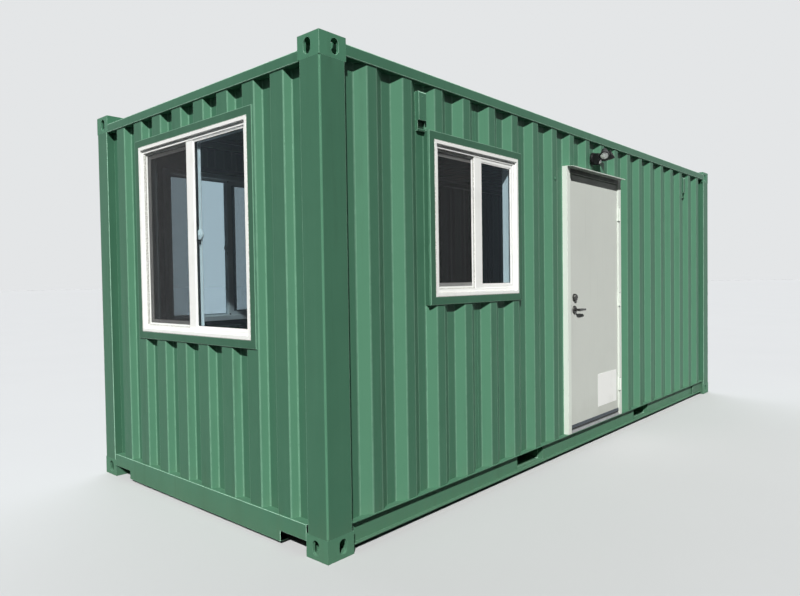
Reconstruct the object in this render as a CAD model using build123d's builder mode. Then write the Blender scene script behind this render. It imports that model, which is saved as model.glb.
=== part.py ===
"""Portable site cabin made from a 20 ft steel freight container, millimetres.

+X runs along the length, the door and the small window face -Y, the large
window faces -X and +Z is up. The origin is the middle of the four corner
apertures, on the plane that the bottom castings stand on.
"""
import os
from math import ceil

from build123d import *

# Overall size
LENGTH = 6058.0
WIDTH = 2438.0
HEIGHT = 2591.0
HALF_LENGTH = LENGTH / 2
HALF_WIDTH = WIDTH / 2
CORNERS = [(sx, sy) for sx in (-1, 1) for sy in (-1, 1)]

# Corner castings and their apertures
CASTING_LENGTH = 178.0
CASTING_WIDTH = 162.0
CASTING_HEIGHT = 118.0
CASTING_WALL = 17.0
APERTURE_FROM_END = 102.5
APERTURE_FROM_SIDE = 89.5
FACE_SLOT_LENGTH = 124.5
FACE_SLOT_WIDTH = 63.5
SIDE_SLOT_LENGTH = 79.5
SIDE_SLOT_WIDTH = 51.0

# Corner posts, folded steel
POST_SIDE_FACE = 167.0
POST_END_FACE = 148.0
POST_STEEL = 6.0
POST_RETURN = 56.0
POST_BEND = 12.0

# Top rails
SIDE_RAIL_BELOW_TOP = 27.0
SIDE_RAIL_HEIGHT = 62.0
END_RAIL_BELOW_TOP = 65.0
END_RAIL_HEIGHT = 58.0
TOP_RAIL_DEPTH = 60.0
TOP_RAIL_STEEL = 3.0

# Bottom side rails, channels that open outwards
SILL_RAIL_LOW = 35.0
SILL_RAIL_HIGH = 160.0
SILL_RAIL_STEEL = 4.5
SILL_TOP_FLANGE = 75.0
SILL_LOW_FLANGE = 31.0

# End sills, notched beside the castings
END_SILL_LOW = 19.0
END_SILL_ABOVE_RAIL = 1.0
END_SILL_DEPTH = 60.0
END_SILL_STEEL = 5.0
END_SILL_NOTCH_Z = 77.0
END_SILL_NOTCH_LENGTH = 212.0

# Forklift pockets
POCKET_CENTRE = 1040.0
POCKET_WIDTH = 356.0
POCKET_LOW = 41.0
POCKET_STEEL = 6.0
POCKET_STRAP = 150.0

# Floor
FLOOR_ABOVE_RAIL = 10.0
FLOOR_THICKNESS = 28.0
BEARER_DEPTH = 100.0
BEARER_WIDTH = 45.0
BEARER_STEEL = 4.0
BEARERS_OUTSIDE = 5
BEARERS_BETWEEN = 5
BEARER_MARGIN = 230.0

# Roof
ROOF_STEEL = 2.0
ROOF_RIB_HEIGHT = 18.0
ROOF_RIB_WIDTH = 130.0
ROOF_RIB_PITCH = 209.0
ROOF_RIB_FROM_END = 150.0
ROOF_RIB_FROM_SIDE = 129.0
ROOF_RIB_TAPER = 40.0
ROOF_EDGE = 10.0
ROOF_FLAP = 34.0

# Corrugated walls
SHEET = 2.0
SHEET_SET_IN = 8.0
SIDE_PITCH = 280.0
SIDE_RECESS = 72.0
SIDE_SLOPE = 68.0
SIDE_DEPTH = 36.0
END_PITCH = 250.0
END_RECESS = 104.0
END_SLOPE = 18.0
END_DEPTH = 45.6

# Windows: white sliders in surrounds of square tube
SURROUND_TUBE = 50.0
SURROUND_DEPTH = 60.0
WINDOW_DEPTH = 70.0
WINDOW_PROUD = 2.0
WINDOW_FACE = 42.0
MEETING_STILE = 46.0
SASH_FACE = 30.0
SASH_DEPTH = 24.0
SASH_PLAY = 0.3
GLASS = 6.0
SIDE_WINDOW_FROM_END = 1334.0
SIDE_WINDOW_WIDTH = 914.0
SIDE_WINDOW_HEIGHT = 914.0
SIDE_WINDOW_BELOW_RAIL = 303.0
LARGE_WINDOW_WIDTH = 1219.0
LARGE_WINDOW_HEIGHT = 1219.0
LARGE_WINDOW_BELOW_RAIL = 213.0
END_WINDOW_Y = -8.0
BACK_WINDOW_FROM_END = 1082.0

# Door
DOOR_X = -10.0
DOOR_OPENING = 914.0
DOOR_JAMB_FACE = 51.0
DOOR_BELOW_RAIL = 252.0
DOOR_STOP = 16.0
LEAF_SET_IN = 12.0
LEAF_THICKNESS = 44.0
LEAF_GAP = 6.0
LOCK_GAP = 8.0
STOP_GAP = 5.0
THRESHOLD_RISE = 12.0
SWEEP_HEIGHT = 34.0
SWEEP_THICKNESS = 8.0
HINGE_RADIUS = 7.0
HINGE_OUT = 9.0
HINGE_LENGTH = 114.0
HINGE_MIDDLE = 38.0
HINGE_PLAY = 0.3
HINGE_PLATE = 2.5
HINGE_FROM_LOW = 248.0
HINGE_FROM_TOP = 256.0
DRIP_OUT = 66.0
DRIP_FALL = 11.0
DRIP_LIP = 6.0
DRIP_FLANGE = 14.0
DRIP_STEEL = 2.0

# Lock and lever
BACKSET = 70.0
LEVER_ABOVE_LOW = 943.0
DEADBOLT_ABOVE_LEVER = 97.0
ROSE_RADIUS = 33.0
ROSE_THICKNESS = 12.0
DEADBOLT_RADIUS = 29.0
DEADBOLT_OUT = 22.0
DEADBOLT_TAPER = 12.0
NECK_RADIUS = 11.0
NECK_BORE_FIT = 0.3
LEVER_OUT = 52.0
LEVER_RADIUS = 9.0
LEVER_REACH = 112.0
SPINDLE_RADIUS = 6.0
SPINDLE_FIT = 1.0

# Security lamp over the door, in the recess on the door's side of the middle
LAMP_X = 0.0
LAMP_ABOVE_DOOR = 122.0
LAMP_PAN_RADIUS = 32.0
LAMP_PAN_THICKNESS = 11.0
LAMP_COVER_RADIUS = 50.0
LAMP_COVER_THICKNESS = 22.0
LAMP_BODY_WIDTH = 56.0
LAMP_BODY_HEIGHT = 90.0
LAMP_BODY_LENGTH = 42.0
LAMP_BODY_DROP = 7.0
LAMP_ARM_RADIUS = 9.0
LAMP_HEAD_NECK = 22.0
LAMP_HEAD_RADIUS = 38.0
LAMP_HEAD_LENGTH = 86.0
LEFT_HEAD_NECK = (-35.0, -57.0, 57.0)
LEFT_HEAD_AIM = (-0.66, -0.29, -0.69)
RIGHT_HEAD_NECK = (87.0, 9.0, 6.0)
RIGHT_HEAD_AIM = (0.22, -0.86, 0.46)

# Ventilators
VENT_WIDTH = 66.0
VENT_HEIGHT = 222.0
VENT_BELOW_RAIL = 44.0
VENT_DEPTH = 30.0
VENT_STEEL = 2.0

# Planes shared by neighbouring pieces
SIDE_RAIL_HIGH = HEIGHT - SIDE_RAIL_BELOW_TOP
SIDE_RAIL_LOW = SIDE_RAIL_HIGH - SIDE_RAIL_HEIGHT
END_RAIL_HIGH = HEIGHT - END_RAIL_BELOW_TOP
END_RAIL_LOW = END_RAIL_HIGH - END_RAIL_HEIGHT
END_SILL_HIGH = SILL_RAIL_HIGH + END_SILL_ABOVE_RAIL
FLOOR_TOP = SILL_RAIL_HIGH + FLOOR_ABOVE_RAIL
SHEET_OUT = HALF_WIDTH - SHEET_SET_IN
SHEET_DEEP = SHEET_OUT - SIDE_DEPTH
END_SHEET_OUT = HALF_LENGTH - SHEET_SET_IN
CASTING_INNER_X = HALF_LENGTH - CASTING_LENGTH
CASTING_INNER_Y = HALF_WIDTH - CASTING_WIDTH
POST_INNER_X = HALF_LENGTH - POST_SIDE_FACE
POST_INNER_Y = HALF_WIDTH - POST_END_FACE
SIDE_LAST_RECESS = (POST_INNER_X - SIDE_RECESS / 2) // SIDE_PITCH * SIDE_PITCH
END_LAST_RECESS = (POST_INNER_Y - END_RECESS / 2) // END_PITCH * END_PITCH
SILL_WEB_Y = HALF_WIDTH - SILL_TOP_FLANGE
FLOOR_HALF_WIDTH = SILL_WEB_Y - SILL_RAIL_STEEL
FLOOR_HALF_LENGTH = HALF_LENGTH - END_SILL_DEPTH
FLOOR_LOW = FLOOR_TOP - FLOOR_THICKNESS
POCKET_HIGH = FLOOR_LOW
SIDE_WINDOW_X = -HALF_LENGTH + SIDE_WINDOW_FROM_END
BACK_WINDOW_X = -HALF_LENGTH + BACK_WINDOW_FROM_END
SIDE_WINDOW_LOW = SIDE_RAIL_LOW - SIDE_WINDOW_BELOW_RAIL - SIDE_WINDOW_HEIGHT
LARGE_WINDOW_LOW = SIDE_RAIL_LOW - LARGE_WINDOW_BELOW_RAIL - LARGE_WINDOW_HEIGHT
DOOR_FRAME_HIGH = SIDE_RAIL_LOW - DOOR_BELOW_RAIL
THRESHOLD_HIGH = FLOOR_TOP + THRESHOLD_RISE
LEAF_FACE_Y = -HALF_WIDTH + LEAF_SET_IN
LEAF_BACK_Y = LEAF_FACE_Y + LEAF_THICKNESS
DOOR_LEFT = DOOR_X - DOOR_OPENING / 2
DOOR_RIGHT = DOOR_X + DOOR_OPENING / 2
DOOR_FRAME_LEFT = DOOR_LEFT - DOOR_JAMB_FACE
DOOR_FRAME_RIGHT = DOOR_RIGHT + DOOR_JAMB_FACE
DOOR_FRAME_BACK = -FLOOR_HALF_WIDTH
LEAF_LEFT = DOOR_LEFT + LOCK_GAP
LEAF_RIGHT = DOOR_RIGHT - LEAF_GAP
LEAF_TOP = DOOR_FRAME_HIGH - DOOR_JAMB_FACE - LEAF_GAP
LEAF_LOW = THRESHOLD_HIGH + LEAF_GAP
HINGE_X = DOOR_RIGHT - LEAF_GAP / 2
HINGE_Y = -HALF_WIDTH - HINGE_OUT
LOWEST_HINGE = LEAF_LOW + HINGE_FROM_LOW
HIGHEST_HINGE = LEAF_TOP - HINGE_FROM_TOP
HINGE_HEIGHTS = (LOWEST_HINGE, (LOWEST_HINGE + HIGHEST_HINGE) / 2, HIGHEST_HINGE)
LOCK_X = LEAF_LEFT + BACKSET
LEVER_Z = LEAF_LOW + LEVER_ABOVE_LOW
DEADBOLT_Z = LEVER_Z + DEADBOLT_ABOVE_LEVER
LAMP_Z = DOOR_FRAME_HIGH + LAMP_ABOVE_DOOR
VENT_HIGH = SIDE_RAIL_LOW - VENT_BELOW_RAIL
VENT_LOW = VENT_HIGH - VENT_HEIGHT

os.makedirs("parts", exist_ok=True)


def save(piece, name):
    """Labels a finished piece and writes it as a node of its own."""
    piece.part.label = name
    export_step(piece.part, "parts/" + name + ".step")


def block(low, high, mode=Mode.ADD):
    """Adds or cuts the box between two opposite corners."""
    size = [b - a for a, b in zip(low, high)]
    middle = [(a + b) / 2 for a, b in zip(low, high)]
    with Locations(tuple(middle)):
        Box(*size, mode=mode)


def outline(plane, points, amount):
    """Extrudes the closed outline drawn on a plane."""
    with BuildSketch(plane) as drawn:
        with BuildLine():
            Polyline(*points, close=True)
        make_face()
    extrude(drawn.sketch, amount=amount)


def facing(x, y, z, out):
    """Plane on a side wall's or the door's face, looking out along -Y or +Y."""
    return Plane((x, y, z), x_dir=(1, 0, 0), z_dir=(0, out, 0))


# Corner castings
def castings(low_z, face_z, face_turn):
    """Four hollow castings, their face aperture up or down."""
    middle_z = low_z + CASTING_HEIGHT / 2
    with BuildPart() as built:
        for sx, sy in CORNERS:
            low = (sx * HALF_LENGTH, sy * HALF_WIDTH)
            inner = (sx * CASTING_INNER_X, sy * CASTING_INNER_Y)
            xs = sorted((low[0], inner[0]))
            ys = sorted((low[1], inner[1]))
            block((xs[0], ys[0], low_z), (xs[1], ys[1], low_z + CASTING_HEIGHT))
            block(
                (xs[0] + CASTING_WALL, ys[0] + CASTING_WALL, low_z + CASTING_WALL),
                (xs[1] - CASTING_WALL, ys[1] - CASTING_WALL, low_z + CASTING_HEIGHT - CASTING_WALL),
                Mode.SUBTRACT,
            )
        slot_x = HALF_LENGTH - APERTURE_FROM_END
        slot_y = HALF_WIDTH - APERTURE_FROM_SIDE
        with BuildSketch(Plane((0, 0, face_z), x_dir=(1, 0, 0), z_dir=(0, 0, face_turn))):
            with Locations(*[(sx * slot_x, sy * slot_y) for sx, sy in CORNERS]):
                SlotOverall(FACE_SLOT_LENGTH, FACE_SLOT_WIDTH)
        extrude(amount=-2 * CASTING_WALL, mode=Mode.SUBTRACT)
        for side in (-1, 1):
            with BuildSketch(Plane((0, side * HALF_WIDTH, middle_z), x_dir=(1, 0, 0), z_dir=(0, side, 0))):
                with Locations((-slot_x, 0), (slot_x, 0)):
                    SlotOverall(SIDE_SLOT_LENGTH, SIDE_SLOT_WIDTH, rotation=90)
            extrude(amount=-2 * CASTING_WALL, mode=Mode.SUBTRACT)
            with BuildSketch(Plane((side * HALF_LENGTH, 0, middle_z), x_dir=(0, 1, 0), z_dir=(side, 0, 0))):
                with Locations((-slot_y, 0), (slot_y, 0)):
                    SlotOverall(SIDE_SLOT_LENGTH, SIDE_SLOT_WIDTH, rotation=90)
            extrude(amount=-2 * CASTING_WALL, mode=Mode.SUBTRACT)
    return built


save(castings(0.0, 0.0, -1), "bottom_castings")
save(castings(HEIGHT - CASTING_HEIGHT, HEIGHT, 1), "top_castings")

# Corner posts
with BuildPart() as corner_posts:
    for sx, sy in CORNERS:
        with BuildSketch(Plane.XY.offset(CASTING_HEIGHT)):
            with BuildLine():
                Polyline(
                    (sx * HALF_LENGTH, sy * HALF_WIDTH),
                    (sx * POST_INNER_X, sy * HALF_WIDTH),
                    (sx * POST_INNER_X, sy * (HALF_WIDTH - POST_RETURN)),
                    (sx * (POST_INNER_X + POST_STEEL), sy * (HALF_WIDTH - POST_RETURN)),
                    (sx * (POST_INNER_X + POST_STEEL), sy * (HALF_WIDTH - POST_STEEL)),
                    (sx * (HALF_LENGTH - POST_STEEL), sy * (HALF_WIDTH - POST_STEEL)),
                    (sx * (HALF_LENGTH - POST_STEEL), sy * (POST_INNER_Y + POST_STEEL)),
                    (sx * (HALF_LENGTH - POST_RETURN), sy * (POST_INNER_Y + POST_STEEL)),
                    (sx * (HALF_LENGTH - POST_RETURN), sy * POST_INNER_Y),
                    (sx * HALF_LENGTH, sy * POST_INNER_Y),
                    close=True,
                )
            make_face()
            bend = vertices().sort_by_distance((sx * HALF_LENGTH, sy * HALF_WIDTH, CASTING_HEIGHT))[0]
            fillet(bend, POST_BEND)
        extrude(amount=HEIGHT - 2 * CASTING_HEIGHT)
save(corner_posts, "corner_posts")

# Top rails, square tube between the castings
with BuildPart() as side_top_rails:
    for side in (-1, 1):
        with BuildSketch(Plane.YZ.offset(-CASTING_INNER_X)):
            with Locations((side * (HALF_WIDTH - TOP_RAIL_DEPTH / 2), (SIDE_RAIL_LOW + SIDE_RAIL_HIGH) / 2)):
                Rectangle(TOP_RAIL_DEPTH, SIDE_RAIL_HIGH - SIDE_RAIL_LOW)
                Rectangle(
                    TOP_RAIL_DEPTH - 2 * TOP_RAIL_STEEL,
                    SIDE_RAIL_HIGH - SIDE_RAIL_LOW - 2 * TOP_RAIL_STEEL,
                    mode=Mode.SUBTRACT,
                )
        extrude(amount=2 * CASTING_INNER_X)
save(side_top_rails, "side_top_rails")

with BuildPart() as end_top_rails:
    for side in (-1, 1):
        with BuildSketch(Plane.XZ.offset(-CASTING_INNER_Y)):
            with Locations((side * (HALF_LENGTH - TOP_RAIL_DEPTH / 2), (END_RAIL_LOW + END_RAIL_HIGH) / 2)):
                Rectangle(TOP_RAIL_DEPTH, END_RAIL_HIGH - END_RAIL_LOW)
                Rectangle(
                    TOP_RAIL_DEPTH - 2 * TOP_RAIL_STEEL,
                    END_RAIL_HIGH - END_RAIL_LOW - 2 * TOP_RAIL_STEEL,
                    mode=Mode.SUBTRACT,
                )
        extrude(amount=2 * CASTING_INNER_Y)
save(end_top_rails, "end_top_rails")

# Bottom side rails, cut away at the forklift pockets
with BuildPart() as side_bottom_rails:
    for side in (-1, 1):
        with BuildSketch(Plane.YZ.offset(-CASTING_INNER_X)):
            with BuildLine():
                Polyline(
                    (side * HALF_WIDTH, SILL_RAIL_HIGH),
                    (side * HALF_WIDTH, SILL_RAIL_HIGH - SILL_RAIL_STEEL),
                    (side * SILL_WEB_Y, SILL_RAIL_HIGH - SILL_RAIL_STEEL),
                    (side * SILL_WEB_Y, SILL_RAIL_LOW + SILL_RAIL_STEEL),
                    (side * (SILL_WEB_Y + SILL_LOW_FLANGE), SILL_RAIL_LOW + SILL_RAIL_STEEL),
                    (side * (SILL_WEB_Y + SILL_LOW_FLANGE), SILL_RAIL_LOW),
                    (side * (SILL_WEB_Y - SILL_RAIL_STEEL), SILL_RAIL_LOW),
                    (side * (SILL_WEB_Y - SILL_RAIL_STEEL), SILL_RAIL_HIGH),
                    close=True,
                )
            make_face()
        extrude(amount=2 * CASTING_INNER_X)
        for pocket in (-1, 1):
            block(
                (pocket * POCKET_CENTRE - POCKET_WIDTH / 2, side * HALF_WIDTH - HALF_WIDTH / 2, POCKET_LOW),
                (pocket * POCKET_CENTRE + POCKET_WIDTH / 2, side * HALF_WIDTH + HALF_WIDTH / 2, POCKET_HIGH),
                Mode.SUBTRACT,
            )
save(side_bottom_rails, "side_bottom_rails")

# Forklift pockets: a tray over each opening and a strap under each mouth
with BuildPart() as fork_pockets:
    for pocket in (-1, 1):
        left = pocket * POCKET_CENTRE - POCKET_WIDTH / 2
        right = pocket * POCKET_CENTRE + POCKET_WIDTH / 2
        with BuildSketch(Plane.XZ.offset(-FLOOR_HALF_WIDTH)):
            with BuildLine():
                Polyline(
                    (left - POCKET_STEEL, SILL_RAIL_LOW),
                    (left - POCKET_STEEL, POCKET_HIGH),
                    (right + POCKET_STEEL, POCKET_HIGH),
                    (right + POCKET_STEEL, SILL_RAIL_LOW),
                    (right, SILL_RAIL_LOW),
                    (right, POCKET_HIGH - POCKET_STEEL),
                    (left, POCKET_HIGH - POCKET_STEEL),
                    (left, SILL_RAIL_LOW),
                    close=True,
                )
            make_face()
        extrude(amount=2 * FLOOR_HALF_WIDTH)
        for side in (-1, 1):
            strap = sorted((side * FLOOR_HALF_WIDTH, side * (FLOOR_HALF_WIDTH - POCKET_STRAP)))
            block((left, strap[0], SILL_RAIL_LOW), (right, strap[1], POCKET_LOW))
save(fork_pockets, "fork_pockets")

# End sills: a folded plate, shallower beside the castings
with BuildPart() as end_sills:
    for side in (-1, 1):
        with BuildSketch(Plane.XZ.offset(-CASTING_INNER_Y)):
            with BuildLine():
                Polyline(
                    (side * HALF_LENGTH, END_SILL_LOW),
                    (side * HALF_LENGTH, END_SILL_HIGH),
                    (side * FLOOR_HALF_LENGTH, END_SILL_HIGH),
                    (side * FLOOR_HALF_LENGTH, END_SILL_HIGH - END_SILL_STEEL),
                    (side * (HALF_LENGTH - END_SILL_STEEL), END_SILL_HIGH - END_SILL_STEEL),
                    (side * (HALF_LENGTH - END_SILL_STEEL), END_SILL_LOW + END_SILL_STEEL),
                    (side * FLOOR_HALF_LENGTH, END_SILL_LOW + END_SILL_STEEL),
                    (side * FLOOR_HALF_LENGTH, END_SILL_LOW),
                    close=True,
                )
            make_face()
        extrude(amount=2 * CASTING_INNER_Y)
        for notch in (-1, 1):
            notch_y = sorted((notch * (CASTING_INNER_Y - END_SILL_NOTCH_LENGTH), notch * HALF_WIDTH))
            notch_x = sorted((side * HALF_LENGTH, side * CASTING_INNER_X))
            block(
                (notch_x[0], notch_y[0], 0.0),
                (notch_x[1], notch_y[1], END_SILL_NOTCH_Z),
                Mode.SUBTRACT,
            )
save(end_sills, "end_sills")

# Floor bearers, channels laid across between the bottom side rails
bearer_reach = FLOOR_HALF_LENGTH - BEARER_MARGIN
pocket_outer = POCKET_CENTRE + POCKET_WIDTH / 2 + POCKET_STEEL
pocket_inner = POCKET_CENTRE - POCKET_WIDTH / 2 - POCKET_STEEL
outer_step = (bearer_reach - pocket_outer) / BEARERS_OUTSIDE
inner_step = 2 * pocket_inner / (BEARERS_BETWEEN + 1)
bearer_places = [bearer_reach - outer_step * i for i in range(BEARERS_OUTSIDE)]
bearer_places += [-x for x in bearer_places]
bearer_places += [-pocket_inner + inner_step * (i + 1) for i in range(BEARERS_BETWEEN)]
with BuildPart() as floor_bearers:
    for x in bearer_places:
        with BuildSketch(Plane.XZ.offset(-FLOOR_HALF_WIDTH)):
            with Locations((x, FLOOR_LOW - BEARER_DEPTH / 2)):
                Rectangle(BEARER_WIDTH, BEARER_DEPTH)
                with Locations((BEARER_STEEL, 0)):
                    Rectangle(BEARER_WIDTH, BEARER_DEPTH - 2 * BEARER_STEEL, mode=Mode.SUBTRACT)
        extrude(amount=2 * FLOOR_HALF_WIDTH)
save(floor_bearers, "floor_bearers")

# Floor
with BuildPart() as floor_boards:
    block(
        (-FLOOR_HALF_LENGTH, -FLOOR_HALF_WIDTH, FLOOR_LOW),
        (FLOOR_HALF_LENGTH, FLOOR_HALF_WIDTH, FLOOR_TOP),
    )
save(floor_boards, "floor_boards")

# Roof sheet on the side rails, with raised ribs across it
rib_length = 2 * (HALF_WIDTH - ROOF_RIB_FROM_SIDE)
rib_reach = 2 * (CASTING_INNER_X - ROOF_RIB_FROM_END) - ROOF_RIB_WIDTH
rib_count = int(rib_reach // ROOF_RIB_PITCH) + 1
with BuildPart() as roof_panel:
    block(
        (-CASTING_INNER_X, -HALF_WIDTH + ROOF_EDGE, SIDE_RAIL_HIGH),
        (CASTING_INNER_X, HALF_WIDTH - ROOF_EDGE, SIDE_RAIL_HIGH + ROOF_STEEL),
    )
    with BuildSketch(Plane.XY.offset(SIDE_RAIL_HIGH + ROOF_STEEL)):
        with GridLocations(ROOF_RIB_PITCH, 1, rib_count, 1):
            Rectangle(ROOF_RIB_WIDTH, rib_length)
    extrude(amount=ROOF_RIB_HEIGHT, taper=ROOF_RIB_TAPER)
    with BuildSketch(Plane.XY.offset(SIDE_RAIL_HIGH)):
        with GridLocations(ROOF_RIB_PITCH, 1, rib_count, 1):
            Rectangle(ROOF_RIB_WIDTH, rib_length)
    extrude(amount=ROOF_RIB_HEIGHT, taper=ROOF_RIB_TAPER, mode=Mode.SUBTRACT)
save(roof_panel, "roof_panel")

# Plates between the top castings, bent down from the roof sheet to the end rails
flap_end = HALF_LENGTH - TOP_RAIL_DEPTH
roof_end = flap_end - ROOF_FLAP
roof_notch_y = CASTING_INNER_Y - ROOF_EDGE
with BuildPart() as roof_end_plates:
    for side in (-1, 1):
        outline(
            Plane.XZ.offset(-roof_notch_y),
            [
                (side * CASTING_INNER_X, SIDE_RAIL_HIGH + ROOF_STEEL),
                (side * roof_end, SIDE_RAIL_HIGH + ROOF_STEEL),
                (side * (flap_end + ROOF_STEEL), END_RAIL_HIGH),
                (side * flap_end, END_RAIL_HIGH),
                (side * (roof_end - ROOF_STEEL), SIDE_RAIL_HIGH),
                (side * CASTING_INNER_X, SIDE_RAIL_HIGH),
            ],
            2 * roof_notch_y,
        )
save(roof_end_plates, "roof_end_plates")


# Corrugated walls
def depth_at(place, pitch, recess, slope, depth, last_recess):
    """How far the sheet lies behind its outer flats at a place along the wall."""
    if abs(place) >= last_recess:
        return depth
    offset = abs((place + pitch / 2) % pitch - pitch / 2)
    if offset <= recess / 2:
        return depth
    if offset >= recess / 2 + slope:
        return 0.0
    return depth * (1 - (offset - recess / 2) / slope)


def sheet_points(start, end, pitch, recess, slope, depth, last_recess):
    """Fold lines of a corrugated sheet between two places, as (place, depth)."""
    folds = {start, end}
    cells = int(max(abs(start), abs(end)) // pitch) + 2
    for cell in range(-cells, cells + 1):
        for offset in (-recess / 2 - slope, -recess / 2, recess / 2, recess / 2 + slope):
            place = cell * pitch + offset
            if start < place < end and abs(place) < last_recess:
                folds.add(place)
    return [(p, depth_at(p, pitch, recess, slope, depth, last_recess)) for p in sorted(folds)]


def side_sheet(side, start, end, low, high):
    """A piece of corrugated side wall, standing."""
    folds = sheet_points(start, end, SIDE_PITCH, SIDE_RECESS, SIDE_SLOPE, SIDE_DEPTH, SIDE_LAST_RECESS)
    outer = [(x, side * (SHEET_OUT - d)) for x, d in folds]
    inner = [(x, side * (SHEET_OUT - SHEET - d)) for x, d in reversed(folds)]
    outline(Plane.XY.offset(low), outer + inner, high - low)


def side_sheet_end(side, turn):
    """The strip of side wall beyond the top rail's end, low enough for the casting."""
    strip = sorted((turn * CASTING_INNER_X, turn * POST_INNER_X))
    side_sheet(side, strip[0], strip[1], SILL_RAIL_HIGH, HEIGHT - CASTING_HEIGHT)


def end_sheet(side, start, end, low, high):
    """A piece of corrugated end wall, standing."""
    folds = sheet_points(start, end, END_PITCH, END_RECESS, END_SLOPE, END_DEPTH, END_LAST_RECESS)
    outer = [(side * (END_SHEET_OUT - d), y) for y, d in folds]
    inner = [(side * (END_SHEET_OUT - SHEET - d), y) for y, d in reversed(folds)]
    outline(Plane.XY.offset(low), outer + inner, high - low)


def surround_box(middle, low, width, height):
    """Outer edges of a window surround: start, end, low and high."""
    reach = width / 2 + SURROUND_TUBE
    return middle - reach, middle + reach, low - SURROUND_TUBE, low + height + SURROUND_TUBE


side_bay = surround_box(SIDE_WINDOW_X, SIDE_WINDOW_LOW, SIDE_WINDOW_WIDTH, SIDE_WINDOW_HEIGHT)
end_bay = surround_box(END_WINDOW_Y, LARGE_WINDOW_LOW, LARGE_WINDOW_WIDTH, LARGE_WINDOW_HEIGHT)
back_bay = surround_box(BACK_WINDOW_X, LARGE_WINDOW_LOW, LARGE_WINDOW_WIDTH, LARGE_WINDOW_HEIGHT)

with BuildPart() as front_wall_left:
    side_sheet(-1, -CASTING_INNER_X, side_bay[0], SILL_RAIL_HIGH, SIDE_RAIL_LOW)
    side_sheet_end(-1, -1)
save(front_wall_left, "front_wall_left")

with BuildPart() as front_wall_window_bay:
    side_sheet(-1, side_bay[0], side_bay[1], SILL_RAIL_HIGH, side_bay[2])
    side_sheet(-1, side_bay[0], side_bay[1], side_bay[3], SIDE_RAIL_LOW)
save(front_wall_window_bay, "front_wall_window_bay")

with BuildPart() as front_wall_middle:
    side_sheet(-1, side_bay[1], DOOR_FRAME_LEFT, SILL_RAIL_HIGH, SIDE_RAIL_LOW)
save(front_wall_middle, "front_wall_middle")

with BuildPart() as front_wall_over_door:
    side_sheet(-1, DOOR_FRAME_LEFT, DOOR_FRAME_RIGHT, DOOR_FRAME_HIGH, SIDE_RAIL_LOW)
save(front_wall_over_door, "front_wall_over_door")

with BuildPart() as front_wall_right:
    side_sheet(-1, DOOR_FRAME_RIGHT, CASTING_INNER_X, SILL_RAIL_HIGH, SIDE_RAIL_LOW)
    side_sheet_end(-1, 1)
save(front_wall_right, "front_wall_right")

with BuildPart() as back_wall_left:
    side_sheet(1, -CASTING_INNER_X, back_bay[0], SILL_RAIL_HIGH, SIDE_RAIL_LOW)
    side_sheet_end(1, -1)
save(back_wall_left, "back_wall_left")

with BuildPart() as back_wall_window_bay:
    side_sheet(1, back_bay[0], back_bay[1], SILL_RAIL_HIGH, back_bay[2])
    side_sheet(1, back_bay[0], back_bay[1], back_bay[3], SIDE_RAIL_LOW)
save(back_wall_window_bay, "back_wall_window_bay")

with BuildPart() as back_wall_right:
    side_sheet(1, back_bay[1], CASTING_INNER_X, SILL_RAIL_HIGH, SIDE_RAIL_LOW)
    side_sheet_end(1, 1)
save(back_wall_right, "back_wall_right")

with BuildPart() as window_end_front:
    end_sheet(-1, -POST_INNER_Y, end_bay[0], END_SILL_HIGH, END_RAIL_LOW)
save(window_end_front, "window_end_front")

with BuildPart() as window_end_bay:
    end_sheet(-1, end_bay[0], end_bay[1], END_SILL_HIGH, end_bay[2])
    end_sheet(-1, end_bay[0], end_bay[1], end_bay[3], END_RAIL_LOW)
save(window_end_bay, "window_end_bay")

with BuildPart() as window_end_back:
    end_sheet(-1, end_bay[1], POST_INNER_Y, END_SILL_HIGH, END_RAIL_LOW)
save(window_end_back, "window_end_back")

with BuildPart() as plain_end_wall:
    end_sheet(1, -POST_INNER_Y, POST_INNER_Y, END_SILL_HIGH, END_RAIL_LOW)
save(plain_end_wall, "plain_end_wall")


# Windows. Each is drawn looking at the wall from outside, on a plane whose
# normal points out of the wall and whose origin is the middle of the sill line.
SIDE_PLANE = Plane((SIDE_WINDOW_X, -HALF_WIDTH, SIDE_WINDOW_LOW), x_dir=(1, 0, 0), z_dir=(0, -1, 0))
END_PLANE = Plane((-HALF_LENGTH, END_WINDOW_Y, LARGE_WINDOW_LOW), x_dir=(0, -1, 0), z_dir=(-1, 0, 0))
BACK_PLANE = Plane((BACK_WINDOW_X, HALF_WIDTH, LARGE_WINDOW_LOW), x_dir=(-1, 0, 0), z_dir=(0, 1, 0))


def ring(plane, out, width, height, face, deep, along=0.0, up=0.0):
    """A rectangular ring whose front lies at a height over the plane."""
    with BuildSketch(plane.offset(out)) as drawn:
        with Locations((along, up + height / 2)):
            Rectangle(width, height)
            Rectangle(width - 2 * face, height - 2 * face, mode=Mode.SUBTRACT)
    extrude(drawn.sketch, amount=-deep)


def plate(plane, out, width, height, deep, along=0.0, up=0.0):
    """A rectangular plate whose front lies at a height over the plane."""
    with BuildSketch(plane.offset(out)) as drawn:
        with Locations((along, up + height / 2)):
            Rectangle(width, height)
    extrude(drawn.sketch, amount=-deep)


def surround(plane, width, height):
    """Welded surround of square tube, flush with the wall's outside."""
    tube = SURROUND_TUBE
    with BuildPart() as built:
        ring(plane, 0.0, width + 2 * tube, height + 2 * tube, tube, SURROUND_DEPTH, 0.0, -tube)
    return built


def window_frame(plane, width, height):
    """White outer frame with its meeting stile and the fixed pane's rebate."""
    with BuildPart() as built:
        ring(plane, WINDOW_PROUD, width, height, WINDOW_FACE, WINDOW_DEPTH)
        plate(plane, WINDOW_PROUD, MEETING_STILE, height - 2 * WINDOW_FACE, SASH_DEPTH, 0.0, WINDOW_FACE)
    return built


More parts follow.
